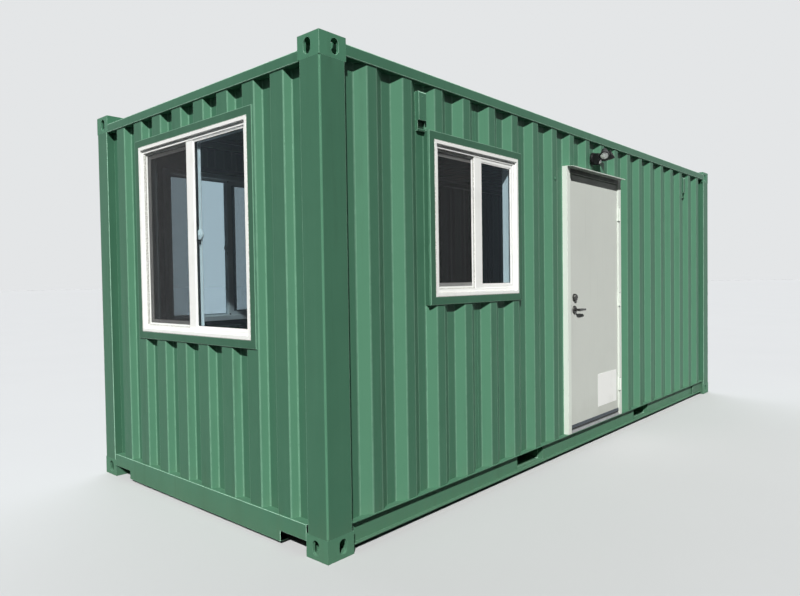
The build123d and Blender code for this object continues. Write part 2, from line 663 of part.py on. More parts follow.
def sash_size(width, height):
    """Opening on one side of the meeting stile: its width and height."""
    return width / 2 - WINDOW_FACE - MEETING_STILE / 2, height - 2 * WINDOW_FACE


SASH_FRONT = WINDOW_PROUD - SASH_DEPTH - SASH_PLAY


def sliding_sash(plane, width, height):
    """Ring of the sliding sash, on the left seen from outside, behind the meeting stile."""
    opening, tall = sash_size(width, height)
    sash_width = opening + MEETING_STILE
    ring(plane, SASH_FRONT, sash_width, tall, SASH_FACE, SASH_DEPTH, -opening / 2, WINDOW_FACE)


def panes(plane, width, height):
    """The fixed pane on the right and the sash's pane on the left."""
    opening, tall = sash_size(width, height)
    with BuildPart() as built:
        fixed_middle = MEETING_STILE / 2 + opening / 2
        plate(plane, WINDOW_PROUD - SASH_DEPTH / 2, opening, tall, GLASS, fixed_middle, WINDOW_FACE)
        plate(
            plane,
            SASH_FRONT - SASH_DEPTH / 2,
            opening + MEETING_STILE - 2 * SASH_FACE,
            tall - 2 * SASH_FACE,
            GLASS,
            -opening / 2,
            WINDOW_FACE + SASH_FACE,
        )
    return built


WINDOWS = (
    ("side_window", SIDE_PLANE, SIDE_WINDOW_WIDTH, SIDE_WINDOW_HEIGHT),
    ("end_window", END_PLANE, LARGE_WINDOW_WIDTH, LARGE_WINDOW_HEIGHT),
    ("back_window", BACK_PLANE, LARGE_WINDOW_WIDTH, LARGE_WINDOW_HEIGHT),
)
for name, plane, width, height in WINDOWS:
    save(surround(plane, width, height), name + "_surround")
    save(window_frame(plane, width, height), name + "_frame")
    save(panes(plane, width, height), name + "_glass")

with BuildPart() as sliding_sashes:
    for name, plane, width, height in WINDOWS:
        sliding_sash(plane, width, height)
save(sliding_sashes, "sliding_sashes")

# Door frame: two jambs and a head, with a stop behind the leaf
stop_y = LEAF_BACK_Y + STOP_GAP
with BuildPart() as door_frame:
    block(
        (DOOR_FRAME_LEFT, -HALF_WIDTH, SILL_RAIL_HIGH),
        (DOOR_FRAME_RIGHT, DOOR_FRAME_BACK, DOOR_FRAME_HIGH),
    )
    block(
        (DOOR_LEFT, -HALF_WIDTH, SILL_RAIL_HIGH),
        (DOOR_RIGHT, stop_y, DOOR_FRAME_HIGH - DOOR_JAMB_FACE),
        Mode.SUBTRACT,
    )
    block(
        (DOOR_LEFT + DOOR_STOP, stop_y, SILL_RAIL_HIGH),
        (DOOR_RIGHT - DOOR_STOP, DOOR_FRAME_BACK, DOOR_FRAME_HIGH - DOOR_JAMB_FACE - DOOR_STOP),
        Mode.SUBTRACT,
    )
save(door_frame, "door_frame")

# Threshold: a low saddle between the jambs, on the rail's flange and the floor's edge
with BuildPart() as door_threshold:
    outline(
        Plane.YZ.offset(DOOR_LEFT),
        [
            (-HALF_WIDTH, SILL_RAIL_HIGH),
            (-HALF_WIDTH, THRESHOLD_HIGH - LEAF_SET_IN),
            (LEAF_FACE_Y, THRESHOLD_HIGH),
            (stop_y, THRESHOLD_HIGH),
            (stop_y, FLOOR_TOP),
            (-FLOOR_HALF_WIDTH, FLOOR_TOP),
            (-FLOOR_HALF_WIDTH, SILL_RAIL_HIGH),
        ],
        DOOR_OPENING,
    )
    for stop in ((DOOR_LEFT, DOOR_LEFT + DOOR_STOP), (DOOR_RIGHT - DOOR_STOP, DOOR_RIGHT)):
        block(
            (stop[0], stop_y, SILL_RAIL_HIGH),
            (stop[1], DOOR_FRAME_BACK, THRESHOLD_HIGH),
            Mode.SUBTRACT,
        )
save(door_threshold, "door_threshold")

# Drip cap, a folded strip on the top of the frame's face
drip_edge = -HALF_WIDTH - DRIP_OUT
drip_low = DOOR_FRAME_HIGH - DRIP_FALL
with BuildPart() as drip_cap:
    outline(
        Plane.YZ.offset(DOOR_FRAME_LEFT),
        [
            (-HALF_WIDTH, DOOR_FRAME_HIGH),
            (drip_edge, drip_low),
            (drip_edge, drip_low - DRIP_LIP),
            (drip_edge + DRIP_STEEL, drip_low - DRIP_LIP),
            (drip_edge + DRIP_STEEL, drip_low - DRIP_STEEL),
            (-HALF_WIDTH - DRIP_STEEL, DOOR_FRAME_HIGH - DRIP_STEEL),
            (-HALF_WIDTH - DRIP_STEEL, DOOR_FRAME_HIGH - DRIP_FLANGE),
            (-HALF_WIDTH, DOOR_FRAME_HIGH - DRIP_FLANGE),
        ],
        DOOR_OPENING + 2 * DOOR_JAMB_FACE,
    )
save(drip_cap, "drip_cap")

# Door leaf, bored for the lever's spindle
with BuildPart() as door_leaf:
    block((LEAF_LEFT, LEAF_FACE_Y, LEAF_LOW), (LEAF_RIGHT, LEAF_BACK_Y, LEAF_TOP))
    with BuildSketch(facing(LOCK_X, LEAF_FACE_Y, LEVER_Z, -1)):
        Circle(SPINDLE_RADIUS + SPINDLE_FIT)
    extrude(amount=-LEAF_THICKNESS, mode=Mode.SUBTRACT)
save(door_leaf, "door_leaf")

# Sweep on the foot of the leaf
with BuildPart() as door_sweep:
    block(
        (LEAF_LEFT, LEAF_FACE_Y - SWEEP_THICKNESS, LEAF_LOW),
        (LEAF_RIGHT, LEAF_FACE_Y, LEAF_LOW + SWEEP_HEIGHT),
    )
save(door_sweep, "door_sweep")

# Hinges: the leaf's knuckles above and below, the frame's knuckle between them
def knuckle(low, high):
    """Adds a knuckle around the hinge line."""
    with BuildSketch(Plane.XY.offset(low)) as drawn:
        with Locations((HINGE_X, HINGE_Y)):
            Circle(HINGE_RADIUS)
    extrude(drawn.sketch, amount=high - low)


with BuildPart() as door_hinges:
    for z in HINGE_HEIGHTS:
        low, high = z - HINGE_LENGTH / 2, z + HINGE_LENGTH / 2
        block((LEAF_RIGHT, -HALF_WIDTH, low), (LEAF_RIGHT + HINGE_PLATE, LEAF_BACK_Y, high))
        middle = HINGE_MIDDLE / 2 + HINGE_PLAY
        for start, end in ((low, z - middle), (z + middle, high)):
            knuckle(start, end)
            block((LEAF_RIGHT, HINGE_Y, start), (LEAF_RIGHT + HINGE_PLATE, -HALF_WIDTH, end))
save(door_hinges, "door_hinges")

with BuildPart() as frame_hinges:
    for z in HINGE_HEIGHTS:
        low, high = z - HINGE_LENGTH / 2, z + HINGE_LENGTH / 2
        start, end = z - HINGE_MIDDLE / 2, z + HINGE_MIDDLE / 2
        block((DOOR_RIGHT - HINGE_PLATE, -HALF_WIDTH, low), (DOOR_RIGHT, LEAF_BACK_Y, high))
        block((DOOR_RIGHT - HINGE_PLATE, HINGE_Y, start), (DOOR_RIGHT, -HALF_WIDTH, end))
        knuckle(start, end)
save(frame_hinges, "frame_hinges")

# Rose and deadbolt housing on each face of the leaf
with BuildPart() as door_lock:
    for face_y, out in ((LEAF_FACE_Y, -1), (LEAF_BACK_Y, 1)):
        with BuildSketch(facing(LOCK_X, face_y, LEVER_Z, out)):
            Circle(ROSE_RADIUS)
            Circle(NECK_RADIUS + NECK_BORE_FIT, mode=Mode.SUBTRACT)
        extrude(amount=ROSE_THICKNESS)
        with BuildSketch(facing(LOCK_X, face_y, DEADBOLT_Z, out)):
            Circle(DEADBOLT_RADIUS)
        extrude(amount=DEADBOLT_OUT, taper=DEADBOLT_TAPER)
save(door_lock, "door_lock")

# Lever: a spindle through the leaf with a neck and a grip on each side
with BuildPart() as door_lever:
    with BuildSketch(facing(LOCK_X, LEAF_FACE_Y - LEVER_OUT, LEVER_Z, 1)):
        Circle(SPINDLE_RADIUS)
    extrude(amount=LEAF_THICKNESS + 2 * LEVER_OUT)
    for face_y, out in ((LEAF_FACE_Y, -1), (LEAF_BACK_Y, 1)):
        with BuildSketch(facing(LOCK_X, face_y + out * NECK_BORE_FIT, LEVER_Z, out)):
            Circle(NECK_RADIUS)
        extrude(amount=LEVER_OUT)
        grip_y = face_y + out * (LEVER_OUT - LEVER_RADIUS)
        with BuildSketch(Plane.YZ.offset(LOCK_X)):
            with Locations((grip_y, LEVER_Z)):
                Circle(LEVER_RADIUS)
        extrude(amount=LEVER_REACH)
save(door_lever, "door_lever")

# Security lamp: pan and cover in the recess, body with the sensor, two heads on arms
cover_back = SHEET_DEEP + LAMP_PAN_THICKNESS
cover_front = cover_back + LAMP_COVER_THICKNESS
body_front = cover_front + LAMP_BODY_LENGTH
body_middle = LAMP_Z - LAMP_BODY_DROP
body_axis = Vector(LAMP_X, -body_front, body_middle)
arm_start = Vector(LAMP_X, -(cover_front + body_front) / 2, body_middle)


def lamp_head(from_body, aim):
    """An arm out of the body, and on it a head that widens from its neck to its lens."""
    start = body_axis + Vector(*from_body)
    arm = start - arm_start
    with BuildSketch(Plane(arm_start, z_dir=arm.normalized())) as rod:
        Circle(LAMP_ARM_RADIUS)
    extrude(rod.sketch, amount=arm.length)
    direction = Vector(*aim).normalized()
    with BuildSketch(Plane(start, z_dir=direction)) as neck:
        Circle(LAMP_HEAD_NECK)
    with BuildSketch(Plane(start + direction * LAMP_HEAD_LENGTH, z_dir=direction)) as lens:
        Circle(LAMP_HEAD_RADIUS)
    loft([neck.sketch, lens.sketch])


with BuildPart() as security_lamp:
    with BuildSketch(facing(LAMP_X, -SHEET_DEEP, LAMP_Z, -1)):
        Circle(LAMP_PAN_RADIUS)
    extrude(amount=LAMP_PAN_THICKNESS)
    with BuildSketch(facing(LAMP_X, -cover_back, LAMP_Z, -1)):
        Circle(LAMP_COVER_RADIUS)
    extrude(amount=LAMP_COVER_THICKNESS)
    block(
        (LAMP_X - LAMP_BODY_WIDTH / 2, -body_front, body_middle - LAMP_BODY_HEIGHT / 2),
        (LAMP_X + LAMP_BODY_WIDTH / 2, -cover_front, body_middle + LAMP_BODY_HEIGHT / 2),
    )
    lamp_head(LEFT_HEAD_NECK, LEFT_HEAD_AIM)
    lamp_head(RIGHT_HEAD_NECK, RIGHT_HEAD_AIM)
save(security_lamp, "security_lamp")

# Ventilators: shallow hoods, open underneath, in the first recess beside the small
# window and opposite. The back window takes the place of the fourth.
vent_x = ceil((VENT_WIDTH / 2 - side_bay[0]) / SIDE_PITCH) * SIDE_PITCH
with BuildPart() as vents:
    for side, end in ((-1, -1), (-1, 1), (1, 1)):
        deep = sorted((side * SHEET_DEEP, side * (SHEET_DEEP + VENT_DEPTH)))
        hollow = sorted((side * SHEET_DEEP, side * (SHEET_DEEP + VENT_DEPTH - VENT_STEEL)))
        left = end * vent_x - VENT_WIDTH / 2
        right = end * vent_x + VENT_WIDTH / 2
        block((left, deep[0], VENT_LOW), (right, deep[1], VENT_HIGH))
        block(
            (left + VENT_STEEL, hollow[0], VENT_LOW),
            (right - VENT_STEEL, hollow[1], VENT_HIGH - VENT_STEEL),
            Mode.SUBTRACT,
        )
save(vents, "vents")
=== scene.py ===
"""Portable site cabin: a steel freight container with a door, windows and a lamp, dressed on its fixed frame."""

import math

import bmesh
import bpy
from mathutils import Matrix, Vector


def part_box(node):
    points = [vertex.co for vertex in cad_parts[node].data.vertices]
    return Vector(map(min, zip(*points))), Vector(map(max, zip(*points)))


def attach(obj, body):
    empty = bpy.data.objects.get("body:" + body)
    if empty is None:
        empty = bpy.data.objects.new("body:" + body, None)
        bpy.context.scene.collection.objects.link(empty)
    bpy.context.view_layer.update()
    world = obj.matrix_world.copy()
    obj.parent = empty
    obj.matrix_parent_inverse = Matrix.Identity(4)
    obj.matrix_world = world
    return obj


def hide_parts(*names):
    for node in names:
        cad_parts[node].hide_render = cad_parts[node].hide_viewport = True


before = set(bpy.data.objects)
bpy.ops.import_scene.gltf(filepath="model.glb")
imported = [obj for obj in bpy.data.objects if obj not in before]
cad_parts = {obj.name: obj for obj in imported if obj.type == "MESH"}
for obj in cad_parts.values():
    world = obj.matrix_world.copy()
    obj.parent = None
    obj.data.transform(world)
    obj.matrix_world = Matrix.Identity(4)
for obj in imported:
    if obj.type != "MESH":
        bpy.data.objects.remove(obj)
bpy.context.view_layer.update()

bl_info = {
    "name": "Portable Site Cabin",
    "version": (1, 0, 0),
    "blender": (4, 5, 0),
    "location": "View3D > Sidebar > Cabin",
    "description": "Dresses a container site cabin with steelwork, windows, a door, a lamp and its finishes",
    "category": "Object",
}

OUT = (0, -1, 0)
WALL_RECESS = 1.175
HALF_TURN = Matrix.Rotation(math.pi, 4, "Z")


def linear(red, green, blue):
    """Scene colour of a screen colour given from 0 to 255."""
    return tuple(((c / 255 + 0.055) / 1.055) ** 2.4 if c > 10 else c / 255 / 12.92 for c in (red, green, blue))


# Settings that a user would change

def length(name, description, default, low, high):
    """Length in metres."""
    return bpy.props.FloatProperty(
        name=name, description=description, default=default, min=low, max=high, unit="LENGTH")


def colour(name, description, *screen):
    """Colour whose default is given from 0 to 255."""
    return bpy.props.FloatVectorProperty(
        name=name, description=description, default=linear(*screen), min=0, max=1, size=3, subtype="COLOR")


class CabinSizes(bpy.types.PropertyGroup):
    fold: length("Fold", "Width of the rounding on each side of a fold of the wall sheet", 0.0065, 0.001, 0.012)
    roof_fold: length("Roof fold", "Rounding at the ribs of the roof sheet", 0.003, 0.001, 0.008)
    casting_edge: length("Casting edge", "Rounding of the corner castings", 0.007, 0.001, 0.012)
    post_edge: length("Post edge", "Rounding of the corner posts' folds", 0.0095, 0.001, 0.012)
    steel_edge: length("Steel edge", "Rounding of bottom rails, sills and fork pockets", 0.0025, 0.0005, 0.006)
    tube_edge: length("Tube edge", "Rounding of the tubes round the windows and along the top", 0.005, 0.001, 0.01)
    weld: length("Weld", "Radius of a weld bead", 0.0045, 0.001, 0.01)
    caulk: length("Caulk", "Radius of a bead of sealant", 0.006, 0.001, 0.012)
    vinyl_edge: length("Vinyl edge", "Rounding of the window frames and sashes", 0.002, 0.0005, 0.005)
    bead: length("Glazing bead", "Width of the bead that holds a pane", 0.011, 0.004, 0.02)
    door_edge: length("Door edge", "Rounding of the door leaf and its frame", 0.0018, 0.0005, 0.005)
    screw: length("Screw head", "Radius of a screw head on the door", 0.0045, 0.002, 0.01)


class CabinColours(bpy.types.PropertyGroup):
    green: colour("Green", "Paint of walls, rails and castings", 67, 112, 89)
    faded: colour("Faded green", "Chalky paint where weather has bleached it", 84, 129, 105)
    # Painted highlight: the edge colour is laid on the roundings of folds and corners to stand in for light catching
    # them.
    edge: colour("Edge", "Thin bright paint on folds and corners", 172, 216, 192)
    grime: colour("Grime", "Dirt washed down by rain", 48, 66, 54)
    dust: colour("Dust", "Pale dust thrown up from the ground", 132, 126, 108)
    rust: colour("Rust", "Rust at chips and welds", 112, 62, 36)
    vinyl: colour("Vinyl", "White window frames", 246, 248, 246)
    door: colour("Door", "Off-white paint of the door leaf", 208, 213, 207)
    door_frame: colour("Door frame", "Paler paint of the door frame", 224, 232, 224)
    rubber: colour("Rubber", "Weather strips and gaskets", 46, 47, 46)
    # Painted reflection: the nickel is given a dark tone so that it shows the dark surroundings it mirrors.
    nickel: colour("Nickel", "Lock and lever", 84, 84, 82)
    plastic: colour("Black plastic", "Body of the security lamp", 22, 23, 24)
    plywood: colour("Plywood", "Floor boards", 150, 118, 84)


# Shader maths

class Value:
    """Output socket of a shader tree that takes part in sums like a number."""

    def __init__(self, tree, socket):
        self.tree = tree
        self.socket = socket

    def math(self, operation, *others):
        return self.tree.add("ShaderNodeMath", {"operation": operation}, dict(enumerate((self, *others))))

    def __add__(self, other):
        return self.math("ADD", other)

    def __mul__(self, other):
        return self.math("MULTIPLY", other)

    def __sub__(self, other):
        return self.math("SUBTRACT", other)

    def __rsub__(self, other):
        return self * -1 + other

    def __pow__(self, other):
        return self.math("POWER", other)

    __radd__ = __add__
    __rmul__ = __mul__

    def between(self, low, high):
        """0 below low, 1 above high and a soft step between them."""
        return self.tree.add(
            "ShaderNodeMapRange", {"interpolation_type": "SMOOTHSTEP"},
            {"Value": self, "From Min": low, "From Max": high}, "Result")


class Tree:
    """Node tree of a material or the world, grown by one method."""

    def __init__(self, owner):
        owner.use_nodes = True
        self.tree = owner.node_tree
        self.tree.nodes.clear()

    def add(self, kind, settings=None, values=None, output=0):
        """Adds a node: its settings first, then the values or links of its sockets, and gives one output."""
        node = self.tree.nodes.new(kind)
        for key, setting in (settings or {}).items():
            setattr(node, key, setting)
        for key, value in (values or {}).items():
            self.feed(self.named(node.inputs, key), value)
        return Value(self, self.named(node.outputs, output)) if node.outputs else None

    def named(self, sockets, key):
        return sockets[key] if isinstance(key, int) else next(s for s in sockets if key in (s.identifier, s.name))

    def feed(self, socket, value):
        """Links a value to a socket, or writes it there."""
        if isinstance(value, Value):
            self.tree.links.new(value.socket, socket)
        elif socket.type == "RGBA" and len(value) == 3:
            socket.default_value = (*value, 1.0)
        else:
            socket.default_value = value

    def mix(self, factor, first, second):
        """Goes from the first colour to the second as the factor grows."""
        return self.add("ShaderNodeMix", {"data_type": "RGBA"}, {
            "Factor_Float": factor, "A_Color": first, "B_Color": second}, "Result_Color")

    def blend(self, factor, first, second):
        """Goes from the first shader to the second as the factor grows."""
        return self.add("ShaderNodeMixShader", {}, {0: factor, 1: first, 2: second})

    def seen_rays(self):
        """1 for what the camera sees, straight, mirrored or through glass."""
        rays = [self.add("ShaderNodeLightPath", output=kind) for kind in (
            "Is Camera Ray", "Is Glossy Ray", "Is Transmission Ray")]
        return rays[0] + rays[1] + rays[2]


class Finish(Tree):
    """Material built from procedural nodes on the object's own coordinates."""

    def __init__(self, name):
        self.material = bpy.data.materials.new(name)
        super().__init__(self.material)
        self.surface = self.add("ShaderNodeBsdfPrincipled")
        self.points = self.add("ShaderNodeTexCoord", output="Object")
        self.facing = self.add("ShaderNodeNewGeometry", output="Normal")
        self.height = self.part(self.points, "Z")

    def set(self, **values):
        """Sets sockets of the surface, named with underscores for spaces."""
        for key, value in values.items():
            self.feed(self.surface.socket.node.inputs[key.replace("_", " ")], value)

    def over(self, factor, colour):
        """Lays a colour over the ones before."""
        self.colour = self.mix(factor, self.colour, colour)

    def coat(self, **values):
        """Sets the surface and shows it by itself in the colour laid so far."""
        self.set(Base_Color=self.colour, **values)
        return self.show(self.surface)

    def show(self, shader):
        self.add("ShaderNodeOutputMaterial", {}, {"Surface": shader})
        return self.material

    def noise(self, scale, detail=3.0, roughness=0.55, stretch=(1, 1, 1), shift=(0, 0, 0)):
        """Cloudy pattern from 0 to 1 with so many patches to a metre."""
        place = self.add("ShaderNodeMapping", {}, {"Vector": self.points, "Scale": stretch, "Location": shift})
        return self.add("ShaderNodeTexNoise", {}, {
            "Vector": place, "Scale": scale, "Detail": detail, "Roughness": roughness})

    def part(self, vector, axis):
        return self.add("ShaderNodeSeparateXYZ", {}, {0: vector}, axis)

    def bump(self, height, distance, strength=1.0, under=None):
        values = {"Height": height, "Distance": distance, "Strength": strength}
        if under is not None:
            values["Normal"] = under
        return self.add("ShaderNodeBump", {}, values)

    def edge_wear_and_highlight(self):
        """1 on the roundings of a piece's edges."""
        return self.add("ShaderNodeAttribute", {"attribute_type": "GEOMETRY", "attribute_name": "edge"}, {}, "Fac")


def paint_on_steel(name, colours, dirt=1.0, rust=1.0, cast=0.0, roof=False, rub=0.5, tone=1.0):
    """Satin green paint: faint patches, rain streaks, a painted sheen of paler green on slanting faces, a painted
    highlight on rounded edges and small rusty chips.
    """
    f = Finish(name)
    clouds = f.noise(0.9, 4.0, 0.6)
    patches = f.noise(5.5, 5.0, 0.62, shift=(3.1, 7.2, 1.4))
    streaks = f.noise(16.0, 4.0, 0.6, (1, 1, 0.045))
    fade = (clouds * 0.55 + patches * 0.45).between(0.4, 0.75) * 0.3
    fade = fade + f.part(f.facing, "Z").between(0.25, 0.9) * 0.35
    f.colour = f.mix(fade, tuple(c * tone for c in colours.green), tuple(c * tone for c in colours.faded))
    # Painted sheen: the slanting faces of the folds get a paler green that stands in for the brighter light they
    # catch.
    slant = (f.part(f.facing, "X") * f.part(f.facing, "Y")) ** 2 * 4
    sheen_green = tuple(c * part for c, part in zip(colours.green, (1.58, 1.44, 1.46)))
    f.over(slant.between(0.08, 0.42) * 0.94, sheen_green)
    run = streaks.between(0.5, 0.78) * patches.between(0.3, 0.65)
    f.over(run * (0.2 * dirt), colours.grime)
    f.over((1 - streaks).between(0.52, 0.8) * 0.16, colours.faded)
    splash = (f.height * -1 + 0.3 + (streaks - 0.5) * 0.4).between(0.0, 0.34)
    f.over(splash * (0.13 * dirt) * (patches * 0.8 + 0.5), colours.dust)
    if roof:
        f.over(f.noise(2.2, 5.0, 0.65, shift=(1, 4, 0)).between(0.42, 0.66) * 0.45, colours.dust)
        f.over(f.noise(1.3, 6.0, 0.7, (1, 0.3, 1), (8, 2, 0)).between(0.54, 0.7) * 0.5, colours.grime)
    edge = f.edge_wear_and_highlight()
    # Painted highlight: pale edge colour on the roundings of edges, standing in for light catching them.
    f.over(edge * (f.noise(21.0, 4.0, 0.7).between(0.3, 0.6) * 0.4 + 0.6) * rub, colours.edge)
    spot = f.noise(26.0, 6.0, 0.75, shift=(9, 5, 2))
    chip = spot.between(0.745 - 0.02 * rust, 0.765 - 0.02 * rust)
    chip = chip + edge * spot.between(0.67 - 0.03 * rust, 0.71 - 0.03 * rust) * 0.8
    weep = f.noise(30.0, 3.0, 0.5, (1, 1, 0.09), (2, 6, 0)).between(0.72, 0.88) * patches.between(0.58, 0.72)
    f.over(weep * (0.18 * rust), colours.rust)
    f.over(chip * (0.6 * min(rust, 1.2)), colours.rust)
    normal = f.bump(f.noise(210.0, 2.0, 0.5) * 0.35 + f.noise(95.0, 3.0, 0.6) * 0.25 - chip * 0.6, 0.0005)
    normal = f.bump(f.noise(3.4, 2.0, 0.5, shift=(6, 1, 8)), 0.004 if cast else 0.012, 0.5, normal)
    if cast:
        normal = f.bump(f.noise(55.0, 5.0, 0.7), 0.003 * cast, 1.0, normal)
    rough = patches * 0.12 + run * 0.1 + splash * 0.2 + chip * 0.3 + 0.34
    return f.coat(Roughness=rough, Normal=normal, Specular_IOR_Level=0.12)


def weld_paint(name, colours):
    """Painted weld bead with its ripples."""
    f = Finish(name)
    patches = f.noise(12.0, 4.0, 0.6)
    f.colour = f.mix(patches.between(0.35, 0.7) * 0.6, colours.green, colours.faded)
    f.over(f.noise(48.0, 5.0, 0.7, shift=(4, 4, 4)).between(0.7, 0.78) * 0.4, colours.rust)
    ripples = f.bump(f.noise(170.0, 2.0, 0.4), 0.0022)
    return f.coat(Roughness=patches * 0.2 + 0.42, Normal=ripples, Specular_IOR_Level=0.25)


def white_vinyl(name, colours, dusty=0.0):
    """Extruded white vinyl with dust in its corners, or lying thick on its tracks."""
    f = Finish(name)
    dull = f.noise(7.0, 4.0, 0.6)
    f.colour = f.mix(dull.between(0.45, 0.8) * 0.25, colours.vinyl, linear(206, 209, 202))
    f.over(f.noise(34.0, 3.0, 0.55, (1, 1, 0.05)).between(0.6, 0.82) * 0.15, linear(150, 148, 136))
    if dusty:
        f.over((f.noise(140.0, 4.0, 0.7).between(0.4, 0.62) * 0.75 + 0.25) * dusty, linear(126, 121, 108))
    normal = f.bump(f.noise(150.0, 2.0, 0.5), 0.0003)
    return f.coat(Roughness=dull * 0.14 + 0.3, Normal=normal, Specular_IOR_Level=0.12)


def window_glass(name):
    """Clear float glass with a faint film of dust."""
    f = Finish(name)
    film = f.noise(3.2, 5.0, 0.62).between(0.45, 0.8)
    drops = f.noise(46.0, 3.0, 0.6, (1, 1, 0.22)).between(0.68, 0.78)
    clear = f.add("ShaderNodeBsdfTransparent", {}, {"Color": (0.80, 0.86, 0.885)})
    gloss = f.add("ShaderNodeBsdfGlossy", {}, {"Color": (0.80, 0.90, 1.0), "Roughness": 0.015})
    f.set(Base_Color=linear(170, 176, 172), Roughness=0.6)
    mirror = f.add("ShaderNodeLayerWeight", {}, {"Blend": 0.5}, "Facing") ** 5 * 0.6 + 0.007
    return f.show(f.blend(film * 0.005 + drops * 0.012, f.blend(mirror, clear, gloss), f.surface))


def insect_mesh(name):
    """Woven screen: dark wires with open holes between them."""
    f = Finish(name)
    wires = [f.add("ShaderNodeTexWave", {"bands_direction": axis}, {"Vector": f.points, "Scale": 90.0}, "Fac")
             for axis in ("X", "Y", "Z")]
    thread = (wires[0] + wires[1] + wires[2]).between(1.5, 2.4)
    f.colour = f.mix(thread, linear(8, 9, 10), linear(18, 19, 20))
    return f.coat(Roughness=thread * 0.2 + 0.5, Alpha=thread * 0.3 + 0.3)


def coated_door(name, colours, pale=False, painted_cap_shadow=False):
    """Factory paint of the door leaf or its frame, with handling marks and rain runs, and on the frame's head a
    painted shadow under the drip cap.
    """
    f = Finish(name)
    base = tuple(colours.door_frame if pale else colours.door)
    clouds = f.noise(2.4, 4.0, 0.6)
    f.colour = f.mix(clouds.between(0.4, 0.7) * 0.2, base, tuple(c * 0.88 for c in base))
    runs = f.noise(30.0, 4.0, 0.6, (1, 1, 0.035)).between(0.56, 0.84)
    f.over(runs * 0.12, linear(140, 142, 132))
    low = (f.height * -1 + 0.5 + (clouds - 0.5) * 0.7).between(0.0, 0.5)
    f.over(low * 0.2 * (clouds + 0.3), colours.dust)
    if pale:
        drips = f.noise(55.0, 4.0, 0.7, (1, 1, 0.2)).between(0.55, 0.68)
        f.over(drips * f.part(f.facing, "Z").between(0.4, 0.9) * 0.6, linear(96, 112, 98))
    # Painted shadow: a near-black band on the head between the jambs stands in for the drip cap's shadow.
    if painted_cap_shadow:
        across = f.part(f.points, "X")
        between_jambs = across.between(-0.4662, -0.4655) * (1 - across.between(0.4462, 0.4468))
        f.over(f.height.between(2.196, 2.206) * between_jambs * (clouds * 0.2 + 0.75), linear(20, 25, 20))
    f.over(f.noise(42.0, 5.0, 0.7).between(0.62, 0.7) * f.edge_wear_and_highlight() * 0.5, linear(120, 122, 116))
    normal = f.bump(f.noise(2.6, 1.0, 0.5), 0.004, 0.4, f.bump(f.noise(260.0, 2.0, 0.5), 0.00035))
    return f.coat(Roughness=clouds * 0.12 + runs * 0.1 + 0.36, Normal=normal, Specular_IOR_Level=0.08)


def soft_black(name, tone, shine, grain=180.0):
    """Rubber or moulded plastic, greyed by dust."""
    f = Finish(name)
    dull = f.noise(14.0, 4.0, 0.6)
    f.colour = f.mix(dull.between(0.42, 0.75) * 0.5, tone, tuple(c * 2.1 + 0.01 for c in tone))
    normal = f.bump(f.noise(grain, 2.0, 0.5), 0.0004)
    return f.coat(Roughness=dull * 0.16 + shine, Normal=normal, Specular_IOR_Level=0.3)


def bare_metal(name, tone, rough, brushed=(1, 1, 1)):
    """Bare aluminium or polished nickel with fine brush marks and smudges."""
    f = Finish(name)
    smudge = f.noise(22.0, 4.0, 0.6)
    lines = f.noise(420.0, 2.0, 0.5, brushed)
    f.colour = f.mix(smudge.between(0.4, 0.75) * 0.4, tone, tuple(c * 0.6 for c in tone))
    return f.coat(Metallic=1.0, Roughness=smudge * 0.2 + lines * 0.08 + rough - 0.08, Normal=f.bump(lines, 0.00012))


def plywood_boards(name, colours):
    """Sealed plywood: long grain, scuffs and footprints' dust."""
    f = Finish(name)
    bands = f.noise(9.0, 5.0, 0.6, (0.12, 1, 1))
    grain = f.noise(90.0, 4.0, 0.7, (0.03, 1, 1))
    dark = tuple(c * 0.55 for c in colours.plywood)
    f.colour = f.mix(bands.between(0.35, 0.7) * 0.5 + grain.between(0.45, 0.75) * 0.3, colours.plywood, dark)
    scuff = f.noise(4.0, 5.0, 0.7).between(0.52, 0.72)
    f.over(scuff * 0.4, linear(150, 146, 136))
    return f.coat(Roughness=scuff * 0.2 + 0.45, Normal=f.bump(grain, 0.0006))


def lamp_lens(name):
    """Frosted lens over a bright reflector."""
    f = Finish(name)
    rings = f.noise(120.0, 2.0, 0.5)
    f.colour = f.mix(rings.between(0.35, 0.7) * 0.3, linear(232, 234, 232), linear(196, 200, 202))
    return f.coat(Metallic=0.35, Roughness=rings * 0.1 + 0.2, Normal=f.bump(rings, 0.0006),
                  Coat_Weight=0.6, Coat_Roughness=0.05)


# Mesh tools

def clear_selection():
    bpy.ops.object.select_all(action="DESELECT")


def make_active(piece):
    clear_selection()
    piece.select_set(True)
    bpy.context.view_layer.objects.active = piece


def edit(piece, kind="EDGE"):
    """Opens a piece in edit mode with everything selected."""
    make_active(piece)
    bpy.ops.object.mode_set(mode="EDIT")
    bpy.ops.mesh.select_mode(type=kind)
    bpy.ops.mesh.select_all(action="SELECT")


def leave_edit():
    bpy.ops.object.mode_set(mode="OBJECT")


def face_outward():
    """Turns all normals of the piece in edit mode outwards and leaves the mode."""
    bpy.ops.mesh.select_all(action="SELECT")
    bpy.ops.mesh.normals_make_consistent(inside=False)
    leave_edit()


def select(piece, kind, test):
    """Selects the edges or faces of the piece in edit mode that pass a test."""
    bpy.ops.mesh.select_all(action="DESELECT")
    mesh = bmesh.from_edit_mesh(piece.data)
    for element in getattr(mesh, kind):
        if test(element):
            element.select_set(True)
    bmesh.update_edit_mesh(piece.data)


def turned(edge, low, high=180.0):
    """Whether an edge's two faces turn by an angle between two limits, in degrees."""
    return len(edge.link_faces) == 2 and low < math.degrees(edge.calc_face_angle(0.0)) < high


def along(edge, axis):
    """Whether an edge runs along an axis."""
    line = edge.verts[1].co - edge.verts[0].co
    return line.length > 1e-6 and abs(line[axis]) > 0.999 * line.length


